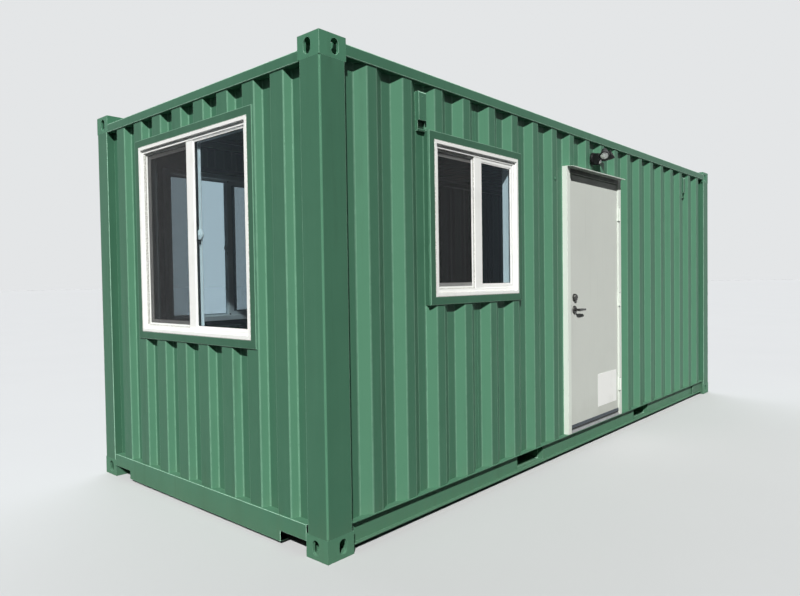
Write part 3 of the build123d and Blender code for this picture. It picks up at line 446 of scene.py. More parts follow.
def mark_rounding(piece, radius):
    """Stores which narrow faces an edge rounding has just made, for the wear and the painted highlight on edges."""
    mesh = piece.data
    worn = mesh.attributes.get("edge") or mesh.attributes.new("edge", "FLOAT", "FACE")
    for face, value in zip(mesh.polygons, worn.data):
        longest = max((mesh.vertices[a].co - mesh.vertices[b].co).length for a, b in face.edge_keys)
        if face.select and face.area < 1.5 * radius * longest:
            value.value = 1.0


def ease(piece, radius, segments=2, test=lambda edge: turned(edge, 25), clamp=True):
    """Rounds the edges of a piece that pass a test."""
    edit(piece)
    select(piece, "edges", test)
    bpy.ops.mesh.bevel(offset=radius, segments=segments, affect="EDGES", clamp_overlap=clamp)
    leave_edit()
    mark_rounding(piece, radius)
    return piece


def smooth(piece, angle=42):
    """Shades the roundings smooth and keeps the flats flat."""
    make_active(piece)
    bpy.ops.object.shade_smooth_by_angle(angle=math.radians(angle))
    bpy.ops.object.modifier_add(type="WEIGHTED_NORMAL")
    weighted = piece.modifiers[-1]
    weighted.keep_sharp = True
    bpy.ops.object.modifier_apply(modifier=weighted.name)


def added(name, data):
    """New object of the scene that shows a mesh, a light or a camera."""
    piece = bpy.data.objects.new(name, data)
    bpy.context.scene.collection.objects.link(piece)
    return piece


def copy_of(node, name):
    """Clean, merged copy of a node of the frame."""
    piece = added(name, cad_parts[node].data.copy())
    piece.data.materials.clear()
    edit(piece, "VERT")
    bpy.ops.mesh.remove_doubles(threshold=0.00001)
    bpy.ops.mesh.dissolve_limited(angle_limit=math.radians(0.4))
    face_outward()
    return piece


def settled(piece, name):
    """Writes an added primitive's size and place into its mesh."""
    piece.name = name
    bpy.ops.object.transform_apply(location=True, rotation=True, scale=True)
    return piece


def bar(low, high, edge=0.0, segments=2, name="bar"):
    """Bar between two corners with its edges eased."""
    low, high = Vector(low), Vector(high)
    clear_selection()
    bpy.ops.mesh.primitive_cube_add(size=1, location=(low + high) / 2)
    bpy.context.object.scale = [abs(v) for v in high - low]
    piece = settled(bpy.context.object, name)
    return ease(piece, edge, segments) if edge else piece


def disc(middle, axis, radius, depth, edge=0.0, sides=24, name="disc"):
    """Round plate or pin on an axis, with its rim eased. Depth goes along the axis from the middle point."""
    axis = Vector(axis).normalized()
    clear_selection()
    bpy.ops.mesh.primitive_cylinder_add(
        vertices=sides, radius=radius, depth=depth, location=Vector(middle) + axis * depth / 2,
        rotation=Vector((0, 0, 1)).rotation_difference(axis).to_euler())
    piece = settled(bpy.context.object, name)
    return ease(piece, edge, 2, lambda e: turned(e, 60)) if edge else piece


def rod(start, end, radius, sides=8, name="rod"):
    """Straight round bead or rod between two points."""
    start, end = Vector(start), Vector(end)
    return disc(start, end - start, radius, (end - start).length, 0.0, sides, name)


def turning(profile, middle, axis, sides=32, name="turning"):
    """Round piece spun from a profile of (radius, distance along the axis)."""
    mesh = bpy.data.meshes.new(name)
    mesh.from_pydata([(r, 0, h) for r, h in profile], [(i, i + 1) for i in range(len(profile) - 1)], [])
    piece = added(name, mesh)
    edit(piece, "VERT")
    bpy.ops.mesh.spin(steps=sides, angle=math.tau, center=(0, 0, 0), axis=(0, 0, 1))
    bpy.ops.mesh.select_all(action="SELECT")
    bpy.ops.mesh.remove_doubles(threshold=0.00002)
    bpy.ops.mesh.select_mode(type="EDGE")
    select(piece, "edges", lambda edge: len(edge.link_faces) == 1)
    if any(v.select for v in bmesh.from_edit_mesh(piece.data).verts):
        bpy.ops.mesh.edge_face_add()
    face_outward()
    turn = Vector((0, 0, 1)).rotation_difference(Vector(axis).normalized()).to_matrix().to_4x4()
    piece.data.transform(Matrix.Translation(middle) @ turn)
    piece.data.update()
    return piece


def copied(piece, places):
    """Copies of a piece moved by vectors or matrices, each with its own mesh."""
    made = []
    for place in places:
        twin = added(piece.name, piece.data.copy())
        twin.data.transform(place if isinstance(place, Matrix) else Matrix.Translation(place))
        twin.data.update()
        made.append(twin)
    return made


def join(pieces, name):
    """Joins pieces into one mesh."""
    clear_selection()
    for piece in pieces:
        piece.select_set(True)
    bpy.context.view_layer.objects.active = pieces[0]
    if len(pieces) > 1:
        bpy.ops.object.join()
    joined = bpy.context.view_layer.objects.active
    joined.name = name
    joined.data.name = name
    return joined


def drop(*pieces):
    for piece in pieces:
        bpy.data.objects.remove(piece)


def picture_frame(low, high, face, edge=0.0, name="ring"):
    """Ring of an even face width between two corners, seen along Y."""
    low, high = Vector(low), Vector(high)
    clear_selection()
    bpy.ops.mesh.primitive_plane_add(
        size=1, location=((low.x + high.x) / 2, low.y, (low.z + high.z) / 2), rotation=(math.pi / 2, 0, 0))
    bpy.context.object.scale = (high.x - low.x, high.z - low.z, 1)
    piece = settled(bpy.context.object, name)
    edit(piece, "FACE")
    bpy.ops.mesh.inset(thickness=face)
    bpy.ops.mesh.delete(type="FACE")
    bpy.ops.mesh.select_all(action="SELECT")
    bpy.ops.mesh.extrude_region_move(TRANSFORM_OT_translate={"value": (0, high.y - low.y, 0)})
    face_outward()
    return ease(piece, edge, 1) if edge else piece


def screw_head(middle, radius, name="screw"):
    """Low domed screw head with a rim, on a face towards -Y."""
    return turning([(0, 0), (radius, 0), (radius, radius * 0.2), (radius * 0.7, radius * 0.42), (0, radius * 0.5)],
                   middle, OUT, 12, name)


def ring_of_rods(low, high, y, radius, sides):
    """Four beads round an upright rectangle."""
    corners = [(low[0], y, low[1]), (high[0], y, low[1]), (high[0], y, high[1]), (low[0], y, high[1])]
    return [rod(start, end, radius, sides) for start, end in zip(corners, corners[1:] + corners[:1])]


materials = {}


def place(pieces, name, finish, slot, body="cabin", stands_for=(), angle=42):
    """Joins finished pieces, gives them a material and lets them move with a body; the slot is not used."""
    piece = join(pieces, name)
    smooth(piece, angle)
    piece.data.materials.clear()
    piece.data.materials.append(materials[finish])
    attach(piece, body)
    if stands_for:
        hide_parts(*stands_for)


def dress(node, name, radius, segments=2, finish="steel", slot="green_paint", body="cabin", angle=42, **rounding):
    """Shows a node of the frame with rounded edges."""
    place([ease(copy_of(node, name), radius, segments, **rounding)], name, finish, slot, body, [node], angle)


class CABIN_OT_finishes(bpy.types.Operator):
    """Makes each paint, metal, vinyl, rubber and glass once"""

    bl_idname = "cabin.finishes"
    bl_label = "Finishes"

    def execute(self, context):
        colours = context.scene.cabin_colours
        materials.update({
            "wall": paint_on_steel("wall_paint", colours, 1.0, 0.4, rub=0.16),
            "steel": paint_on_steel("steelwork_paint", colours, 1.0, 0.8, rub=0.8),
            # Painted light: the sills and bottom rails are mixed lighter to stand in for light thrown up from the
            # ground.
            "sill": paint_on_steel("sill_paint", colours, 1.0, 0.8, rub=0.8, tone=1.22),
            "tube": paint_on_steel("surround_paint", colours, 1.0, 0.8, rub=0.26, tone=0.79),
            # The castings are mixed lighter; part of this is painted light standing in for light thrown up from the
            # ground onto the lower castings.
            "casting": paint_on_steel("casting_paint", colours, 0.9, 1.2, cast=0.35, rub=0.8, tone=1.32),
            # Painted shade: the frame's weld beads are mixed dark to stand in for the shade line under the castings
            # and along the joints.
            "seam": paint_on_steel("seam_paint", colours, 1.0, 1.4, rub=0.0, tone=0.3),
            "roof": paint_on_steel("roof_paint", colours, 1.2, 0.6, roof=True, rub=0.3),
            "weld": weld_paint("weld_paint", colours),
            "vinyl": white_vinyl("window_vinyl", colours),
            "dusty": white_vinyl("dusty_track_vinyl", colours, 0.7),
            "glass": window_glass("window_glass"),
            "mesh": insect_mesh("insect_mesh"),
            "door": coated_door("door_paint", colours),
            "door_frame": coated_door("door_frame_paint", colours, pale=True),
            # The door frame's paint carries a painted shadow under the drip cap.
            "door_head": coated_door("door_head_paint", colours, pale=True, painted_cap_shadow=True),
            "rubber": soft_black("weather_rubber", colours.rubber, 0.6),
            "plastic": soft_black("lamp_plastic", colours.plastic, 0.34, 90.0),
            "vent_mesh": soft_black("vent_mesh", linear(24, 54, 38), 0.7, 300.0),
            "aluminium": bare_metal("mill_aluminium", linear(176, 178, 178), 0.38, (0.02, 1, 1)),
            "dark_metal": bare_metal("weathered_aluminium", linear(98, 104, 110), 0.5, (0.02, 1, 1)),
            # Painted reflection: the dark nickel tone stands in for dark surroundings mirrored in the lock and lever.
            "nickel": bare_metal("polished_nickel", colours.nickel, 0.16),
            "plywood": plywood_boards("floor_plywood", colours),
            "lens": lamp_lens("lamp_lens"),
        })
        return {"FINISHED"}


class CABIN_OT_steel_frame(bpy.types.Operator):
    """Castings, posts, rails, sills and fork pockets, with eased edges and weld beads"""

    bl_idname = "cabin.steel_frame"
    bl_label = "Steel frame"

    def execute(self, context):
        sizes = context.scene.cabin_sizes
        for node in ("bottom_castings", "top_castings"):
            dress(node, "cast_" + node, sizes.casting_edge, 3, "casting")
        dress("corner_posts", "painted_corner_posts", sizes.post_edge, 3,
              test=lambda e: turned(e, 60) and along(e, 2))
        for node, finish in (("end_sills", "sill"), ("fork_pockets", "steel"), ("floor_bearers", "steel")):
            dress(node, "painted_" + node, sizes.steel_edge, 2, finish)
        self.add_bottom_rails(sizes)
        for node, axis in (("side_top_rails", 0), ("end_top_rails", 1)):
            dress(node, "painted_" + node, sizes.tube_edge, 3, test=lambda e: turned(e, 60) and along(e, axis))
        self.add_welds(sizes.weld)
        self.add_rail_plates()
        return {"FINISHED"}

    def add_bottom_rails(self, sizes):
        """Channels that open outwards, with web and lower flange drawn towards the open side."""
        rails = copy_of("side_bottom_rails", "painted_side_bottom_rails")
        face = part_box("side_bottom_rails")[1].y
        web, lower_flange = (0.075, 0.036), (0.044, 0.030)
        for side in (-1, 1):
            for depth, shift in (web, lower_flange):
                edit(rails, "FACE")
                select(rails, "faces", lambda f: f.normal.y * side > 0.9
                       and abs(f.calc_center_median().y * side - face + depth) < 0.004)
                bpy.ops.transform.translate(value=(0, side * shift, 0))
                leave_edit()
        ease(rails, sizes.steel_edge)
        place([rails], rails.name, "sill", "green_paint", stands_for=["side_bottom_rails"])

    def add_welds(self, r):
        """Beads where castings, posts and rails meet, painted dark green as a painted shade line along these joints.
        """
        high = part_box("bottom_castings")[1]
        posts, side_rails, end_rails = (
            [point.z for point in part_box(node)] for node in ("corner_posts", "side_top_rails", "end_top_rails"))
        end, side = high.x - r, high.y - r
        inner_x, inner_y = high.x - 0.178, high.y - 0.162
        beads = []
        for sx in (-1, 1):
            for sy in (-1, 1):
                for z in posts:
                    beads.append(rod((sx * (high.x - 0.006), sy * side, z), (sx * (inner_x + 0.03), sy * side, z), r))
                    beads.append(rod((sx * end, sy * (high.y - 0.006), z), (sx * end, sy * (inner_y + 0.03), z), r))
                beads.append(rod(*((sx * inner_x, sy * side, z) for z in side_rails), r))
                beads.append(rod(*((sx * end, sy * inner_y, z) for z in end_rails), r))
        place(beads, "frame_welds", "seam", "green_paint", angle=60)

    def add_rail_plates(self):
        """Plates welded into the channels of the bottom rails beside the castings of the plain end."""
        low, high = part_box("side_bottom_rails")
        shelf, plate_x = high.y - 0.031, 2.695
        unit = join([
            bar((-0.155, -shelf - 0.006, low.z + 0.004), (0.155, -shelf, high.z - 0.004), 0.0015),
            bar((0.147, -high.y + 0.004, low.z + 0.003), (0.153, -shelf - 0.004, high.z - 0.003), 0.0012),
        ], "rail_plate")
        mirrored = Matrix.Translation((-plate_x, 0, 0)) @ Matrix.Diagonal((-1, 1, 1, 1))
        across = HALF_TURN @ mirrored
        plates = join(copied(unit, [Matrix.Translation((plate_x, 0, 0)), across]), "rail_end_plates")
        drop(unit)
        edit(plates)
        face_outward()
        place([plates], plates.name, "steel", "green_paint")


class CABIN_OT_walls(bpy.types.Operator):
    """Corrugated wall sheets with rounded folds, seams and a plug"""

    bl_idname = "cabin.walls"
    bl_label = "Walls"

    def execute(self, context):
        fold = context.scene.cabin_sizes.fold
        for node in [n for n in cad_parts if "_wall" in n or n.startswith("window_end_")]:
            dress(node, "sheet_" + node, fold, 3, "wall", angle=30, clamp=False,
                  test=lambda e: along(e, 2) and turned(e, 10, 80))
        self.add_seams()
        return {"FINISHED"}

    def add_seams(self):
        """Butt welds up the sheets, in the middle of a recess, and a small plug on a flat."""
        window_low, window_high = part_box("side_window_surround")
        low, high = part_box("front_wall_right")
        runs = [(-1.68, window_high.z, high.z, -1), (-1.68, low.z, window_low.z, -1), (1.68, low.z, high.z, -1)]
        runs += [(x, low.z, high.z, 1) for x in (-0.56, 0.56, 1.68)]
        beads = []
        for x, bottom, top, side in runs:
            y = side * (WALL_RECESS + 0.0002)
            beads.append(rod((x, y, bottom), (x, y, top), 0.0022))
        place(beads, "sheet_seams", "weld", "green_paint", angle=60)
        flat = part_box("front_wall_middle")[0].y
        place([screw_head((-0.695, flat - 0.0003, 2.13), 0.012)], "wall_plug", "weld", "green_paint")


class CABIN_OT_roof(bpy.types.Operator):
    """Roof sheet with rounded ribs and its end plates"""

    bl_idname = "cabin.roof"
    bl_label = "Roof"

    def execute(self, context):
        ribs = context.scene.cabin_sizes.roof_fold
        dress("roof_panel", "ribbed_roof_panel", ribs, 2, "roof", test=lambda e: turned(e, 20, 80))
        dress("roof_end_plates", "folded_roof_end_plates", 0.0008, 1, "roof")
        low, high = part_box("roof_panel")
        beads = [rod((low.x, y, low.z), (high.x, y, low.z), 0.003) for y in (-high.y, high.y)]
        beads += [rod((x, -1.04, low.z + 0.002), (x, 1.04, low.z + 0.002), 0.0025) for x in (low.x, high.x)]
        place(beads, "roof_welds", "weld", "green_paint", angle=60)
        return {"FINISHED"}


class CABIN_OT_floor(bpy.types.Operator):
    """Plywood floor sheets with seams and screws"""

    bl_idname = "cabin.floor"
    bl_label = "Floor"

    def execute(self, context):
        low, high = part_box("floor_boards")
        count, gap, margin = 5, 0.001, 0.03
        length = (high.x - low.x) / count
        starts = [low.x + i * length for i in range(count)]
        sheets = [bar((x + gap, y0 + gap, low.z), (x + length - gap, y1 - gap, high.z), 0.0012, 1)
                  for x in starts for y0, y1 in ((low.y, 0.0), (0.0, high.y))]
        place(sheets, "floor_sheets", "plywood", "plywood", stands_for=["floor_boards"])
        head = disc((0, 0, high.z - 0.0005), (0, 0, 1), 0.006, 0.001, 0.0003, 10)
        spots = [Vector((x, y, 0)) for start in starts for x in (start + margin, start + length - margin)
                 for y in (-1.08, -0.75, -0.4, -0.05, 0.05, 0.4, 0.75, 1.08)]
        heads = copied(head, spots)
        drop(head)
        place(heads, "floor_screws", "aluminium", "plywood")
        return {"FINISHED"}


class CABIN_OT_windows(bpy.types.Operator):
    """Welded surrounds, vinyl frames, sashes, beads, tracks, latches, screens and panes"""

    bl_idname = "cabin.windows"
    bl_label = "Windows"

    def execute(self, context):
        sizes = context.scene.cabin_sizes
        sets, sashes = {}, []
        for window in ("side_window", "end_window", "back_window"):
            dress(window + "_surround", window + "_welded_surround", sizes.tube_edge, 3, "tube")
            turn, width, height = self.setting(window)
            key = (round(width, 3), round(height, 3))
            if key not in sets:
                sets[key] = self.fittings(width, height, sizes)
            for kind, (piece, finish, slot) in sets[key].items():
                fitted = copied(piece, [turn])
                if kind == "sash":
                    sashes += fitted
                    continue
                stands_for = {"vinyl_frame": [window + "_frame"], "panes": [window + "_glass"]}.get(kind, ())
                place(fitted, window + "_" + kind, finish, slot, stands_for=stands_for)
        for made in sets.values():
            drop(*(piece for piece, finish, slot in made.values()))
        place(sashes, "vinyl_sashes", "vinyl", "white_vinyl", stands_for=["sliding_sashes"])
        return {"FINISHED"}

    def setting(self, window):
        """How a piece drawn at the origin, facing -Y and standing on the sill line, is carried to its window."""
        low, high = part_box(window + "_frame")
        wall_low, wall_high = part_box(window + "_surround")
        middle = (low + high) / 2
        width, height = max(high.x - low.x, high.y - low.y), high.z - low.z
        if window == "side_window":
            return Matrix.Translation((middle.x, wall_low.y, low.z)), width, height
        if window == "end_window":
            turn = Matrix.Translation((wall_low.x, middle.y, low.z)) @ Matrix.Rotation(-math.pi / 2, 4, "Z")
            return turn, width, height
        return Matrix.Translation((middle.x, wall_high.y, low.z)) @ HALF_TURN, width, height

    def fittings(self, width, height, sizes):
        """Pieces of one window, seen from outside: fixed half on the right, slider and screen on the left."""
        side, half, low, top = width / 2, width / 2 - 0.042, 0.042, height - 0.042
        edge, middle, bite = sizes.vinyl_edge, height / 2, 0.009 if height > 1.1 else 0.024
        frame_parts = [
            picture_frame((-side, -0.0018, 0), (side, 0.0140, height), 0.021, edge),
            picture_frame((-side + 0.001, 0.0130, 0.001), (side - 0.001, 0.0680, height - 0.001), 0.042, edge),
            bar((-0.038, 0.0155, low - 0.002), (0.038, 0.0345, top + 0.002), edge),
            picture_frame((0.014, 0.0180, low - 0.001), (half + 0.001, 0.0340, top + 0.001), bite, edge),
            picture_frame((0.036, 0.0205, low + bite - 0.006), (half - bite + 0.006, 0.0252, top - bite + 0.006),
                          sizes.bead, 0.001),
            picture_frame((0.002 - side, 0.0660, 0.002), (side - 0.002, 0.1020, height - 0.002), 0.038, edge),
        ]
        sash = [
            picture_frame((-half, 0.0360, low), (0.021, 0.0580, top), 0.030, edge),
            picture_frame((0.027 - half, 0.0395, low + 0.027), (-0.006, 0.0435, top - 0.027), sizes.bead, 0.001),
            bar((0.018, 0.0570, low + 0.012), (0.046, 0.0655, top - 0.012), edge),
        ]
        panes = [
            bar((0.030, 0.0250, low + 0.008), (half - 0.008, 0.0290, top - 0.008), 0.0004, 1),
            bar((0.022 - half, 0.0435, low + 0.022), (-0.001, 0.0475, top - 0.022), 0.0004, 1),
        ]
        latch = [
            turning([(0, 0), (0.030, 0), (0.032, 0.002), (0.032, 0.010), (0.027, 0.0135), (0, 0.0145)],
                    (0.040, 0.0590, middle), OUT, 32),
            turning([(0, 0), (0.010, 0), (0.009, 0.003), (0, 0.0035)], (0.040, 0.0450, middle), OUT, 20),
        ]
        tracks = [
            picture_frame((0.0004 - half, 0.0205, low + 0.0004), (-0.0382, 0.0225, top - 0.0004), 0.006, 0.0006),
            bar((0.0004 - half, 0.0134, low - 0.0006), (-0.0382, 0.0352, low + 0.0016), 0.0006, 1),
            bar((0.0002 - half, 0.0136, low + 0.002), (0.0014 - half, 0.0352, top - 0.002), 0.0004, 1),
            bar((-side + 0.0215, 0.0112, 0.0210), (side - 0.0215, 0.0132, 0.0232), 0.0006, 1),
            *ring_of_rods((-side, 0), (side, height), 0.0008, 0.0026, 6),
        ]
        rubber = [
            picture_frame((0.0462, 0.0240, low + bite + 0.0042), (half - bite - 0.0042, 0.0254, top - bite - 0.0042),
                          0.003, 0.0004),
            picture_frame((0.0375 - half, 0.0424, low + 0.0375), (-0.0165, 0.0439, top - 0.0375), 0.003, 0.0004),
            bar((0.0206, 0.0368, low + 0.002), (0.0236, 0.0572, top - 0.002), 0.001, 1),
            bar((-0.0384, 0.0280, low + 0.001), (-0.0376, 0.0340, top - 0.001), 0.0003, 1),
            bar((0.034, 0.0470, middle - 0.060), (0.046, 0.0560, middle - 0.029), 0.002),
        ]
        screen = [picture_frame((0.0018 - half, 0.0290, low + 0.0018), (-0.0386, 0.0352, top - 0.001), 0.014, 0.0012)]
        mesh = [bar((0.0150 - half, 0.0318, low + 0.0150), (-0.0520, 0.0324, top - 0.0142), 0.0002, 1)]
        seals = [rod((x, 0.0085, -0.05), (x, 0.0085, height + 0.05), sizes.caulk)
                 for x in (-side - 0.0505, side + 0.0505)]
        return {
            "vinyl_frame": (join(frame_parts, "frame"), "vinyl", "white_vinyl"),
            "sash": (join(sash, "sash"), "vinyl", "white_vinyl"),
            "panes": (join(panes, "panes"), "glass", "pane"),
            "latch": (join(latch, "latch"), "vinyl", "white_vinyl"),
            "tracks_and_caulk": (join(tracks, "tracks"), "dusty", "white_vinyl"),
            "gaskets": (join(rubber, "gaskets"), "rubber", "black_rubber"),
            "screen_frame": (join(screen, "screen"), "vinyl", "white_vinyl"),
            "screen_mesh": (join(mesh, "mesh"), "mesh", "black_rubber"),
            "edge_welds": (join(seals, "seals"), "weld", "green_paint"),
        }


class CABIN_OT_door(bpy.types.Operator):
    """Door leaf, frame, hinges, lock, lever, sweep and threshold"""

    bl_idname = "cabin.door"
    bl_label = "Door"

    def execute(self, context):
        sizes = context.scene.cabin_sizes
        for node, finish, slot, body, radius in (
            # The frame takes the paint with the painted shadow under the drip cap.
            ("door_frame", "door_head", "door_paint", "cabin", sizes.door_edge),
            ("frame_hinges", "door_frame", "door_paint", "cabin", 0.0006),
            ("door_threshold", "aluminium", "bare_aluminium", "cabin", 0.001),
            ("door_leaf", "door", "door_paint", "door", sizes.door_edge),
            ("door_hinges", "door_frame", "door_paint", "door", 0.0006),
        ):
            dress(node, "finished_" + node, radius, 2, finish, slot, body)
        low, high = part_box("door_leaf")
        handle = low.x + 0.070, low.z + 0.943
        self.add_drip_cap()
        self.add_seals(low, high)
        self.add_hinge_pins(low, high)
        self.add_sweep()
        self.add_plates(low, sizes.screw)
        self.add_lock(low, high, *handle)
        self.add_lever(low, high, *handle)
        return {"FINISHED"}

    def add_drip_cap(self):
        """Folded cap over the head of the frame, its outer corner cut back on the hinge side."""
        cap = copy_of("drip_cap", "folded_drip_cap")
        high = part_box("drip_cap")[1]
        edit(cap, "FACE")
        bpy.ops.mesh.bisect(
            plane_co=(high.x, high.y - 0.008, 0), plane_no=(1, -1.8, 0), use_fill=True, clear_outer=True)
        leave_edit()
        place([ease(cap, 0.0004)], cap.name, "door_frame", "door_paint", stands_for=["drip_cap"])

    def add_seals(self, low, high):
        """Rubber strips on the frame's stop, behind the leaf."""
        front, back = high.y + 0.0006, high.y + 0.0052
        left, right, top, strip = low.x - 0.007, high.x + 0.005, high.z + 0.005, 0.012
        place([
            bar((left, front, low.z), (left + strip, back, top - strip), 0.0018),
            bar((right - strip, front, low.z), (right, back, top - strip), 0.0018),
            bar((left, front, top - strip), (right, back, top), 0.0018),
        ], "door_seal", "rubber", "black_rubber")

    def add_hinge_pins(self, leaf_low, leaf_high):
        """Button tips of the three hinge pins."""
        low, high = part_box("door_hinges")
        x, y, half = high.x - 0.007, low.y + 0.007, 0.0568
        tip = turning([(0, 0), (0.0062, 0), (0.0062, 0.0015), (0.0045, 0.0038), (0, 0.0046)],
                      (x, y, 0), (0, 0, 1), 16)
        pin = Matrix.Translation((x, y, 0))
        upside_down = pin @ Matrix.Rotation(math.pi, 4, "X") @ pin.inverted()
        bottom, top = leaf_low.z + 0.248, leaf_high.z - 0.256
        middles = (bottom, (bottom + top) / 2, top)
        tips = copied(tip, [Matrix.Translation((0, 0, z + half)) for z in middles]
                      + [Matrix.Translation((0, 0, z - half)) @ upside_down for z in middles])
        drop(tip)
        place(tips, "hinge_pin_tips", "dark_metal", "bare_aluminium", "door")

    def add_sweep(self):
        """Ribbed metal holder along the foot of the leaf with a rubber fin under it."""
        low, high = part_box("door_sweep")
        left, right = low.x + 0.001, high.x - 0.001
        holder = [bar((low.x, low.y + 0.0024, low.z + 0.009), (high.x, high.y, high.z), 0.0008, 1)]
        holder += [rod((left, low.y + 0.0026, low.z + z), (right, low.y + 0.0026, low.z + z), 0.0022)
                   for z in (0.0125, 0.0185, 0.0245, 0.0305)]
        place(holder, "door_sweep_holder", "dark_metal", "bare_aluminium", "door", ["door_sweep"])
        fin = bar((left, low.y + 0.0034, low.z + 0.0004), (right, high.y - 0.0012, low.z + 0.010), 0.001)
        place([fin], "door_sweep_fin", "rubber", "black_rubber", "door")

    def add_plates(self, low, screw):
        """Guard over the latch and a blank plate low on the leaf, each with its screws."""
        guard = [bar((low.x + 0.0005, low.y - 0.0022, 1.095), (low.x + 0.017, low.y + 0.0002, 1.173), 0.0008)]
        guard += [screw_head((low.x + 0.0088, low.y - 0.0021, z), 0.0035) for z in (1.104, 1.134, 1.164)]
        place(guard, "latch_guard", "aluminium", "bare_aluminium", "door")
        blank = [bar((0.033, low.y - 0.0014, 0.293), (0.405, low.y + 0.0002, 0.570), 0.0005, 1)]
        blank += [screw_head((x, low.y - 0.0013, z), screw) for x in (0.045, 0.393) for z in (0.305, 0.558)]
        place(blank, "blank_door_plate", "vinyl", "white_vinyl", "door")

    def add_lock(self, low, high, x, lever):
        """Turned deadbolt housing and rose on each face of the leaf."""
        bolt = lever + 0.097
        metal, dark = [], []
        for face, out in ((low.y, -1), (high.y, 1)):
            metal.append(turning([
                (0, -0.0002), (0.031, -0.0002), (0.031, 0.004), (0.0295, 0.0075), (0.0280, 0.014), (0.0250, 0.0195),
                (0.0225, 0.0215), (0.0135, 0.0218), (0.0125, 0.0200), (0, 0.0200)], (x, face, bolt), (0, out, 0), 40))
            metal.append(turning([
                (0.0115, -0.0002), (0.033, -0.0002), (0.033, 0.0032), (0.0312, 0.0075), (0.0272, 0.0108),
                (0.0215, 0.0119), (0.0115, 0.0119), (0.0115, -0.0002)], (x, face, lever), (0, out, 0), 40))
            y = sorted((face + out * 0.0198, face + out * 0.0206))
            dark.append(bar((x - 0.0011, y[0], bolt - 0.0052), (x + 0.0011, y[1], bolt + 0.0052), 0.0002, 1))
            dark.append(turning([
                (0.0128, 0.0185), (0.0145, 0.0185), (0.0145, 0.0221), (0.0128, 0.0221), (0.0128, 0.0185)],
                (x, face, bolt), (0, out, 0)))
        place(metal, "turned_door_lock", "nickel", "satin_nickel", "door", ["door_lock"], 30)
        place(dark, "lock_keyways", "rubber", "black_rubber", "door")

    def add_lever(self, low, high, x, z):
        """Lever on each face: a turned neck and a tapered grip, on one spindle."""
        tip = x + 0.112
        pieces = [rod((x, low.y - 0.04, z), (x, high.y + 0.04, z), 0.0055, 12)]
        for face, out in ((low.y, -1), (high.y, 1)):
            pieces.append(turning([
                (0, 0.0006), (0.0108, 0.0006), (0.0108, 0.022), (0.0095, 0.030), (0.0098, 0.043), (0.0088, 0.0505),
                (0.0055, 0.0522), (0, 0.0522)], (x, face, z), (0, out, 0), 28))
            y = sorted((face + out * 0.036, face + out * 0.0515))
            grip = bar((x - 0.004, y[0], z - 0.0105), (tip, y[1], z + 0.0105))
            edit(grip, "FACE")
            bpy.ops.mesh.bisect(plane_co=(x + 0.05, 0, 0), plane_no=(1, 0, 0))
            bpy.ops.mesh.select_mode(type="FACE")
            select(grip, "faces", lambda f: f.normal.x > 0.9)
            bpy.ops.transform.resize(value=(1, 0.72, 0.72), center_override=(tip, face + out * 0.044, z - 0.002))
            leave_edit()
            pieces.append(ease(grip, 0.0048, 4))
        place(pieces, "shaped_door_lever", "nickel", "satin_nickel", "lever", ["door_lever"], 40)


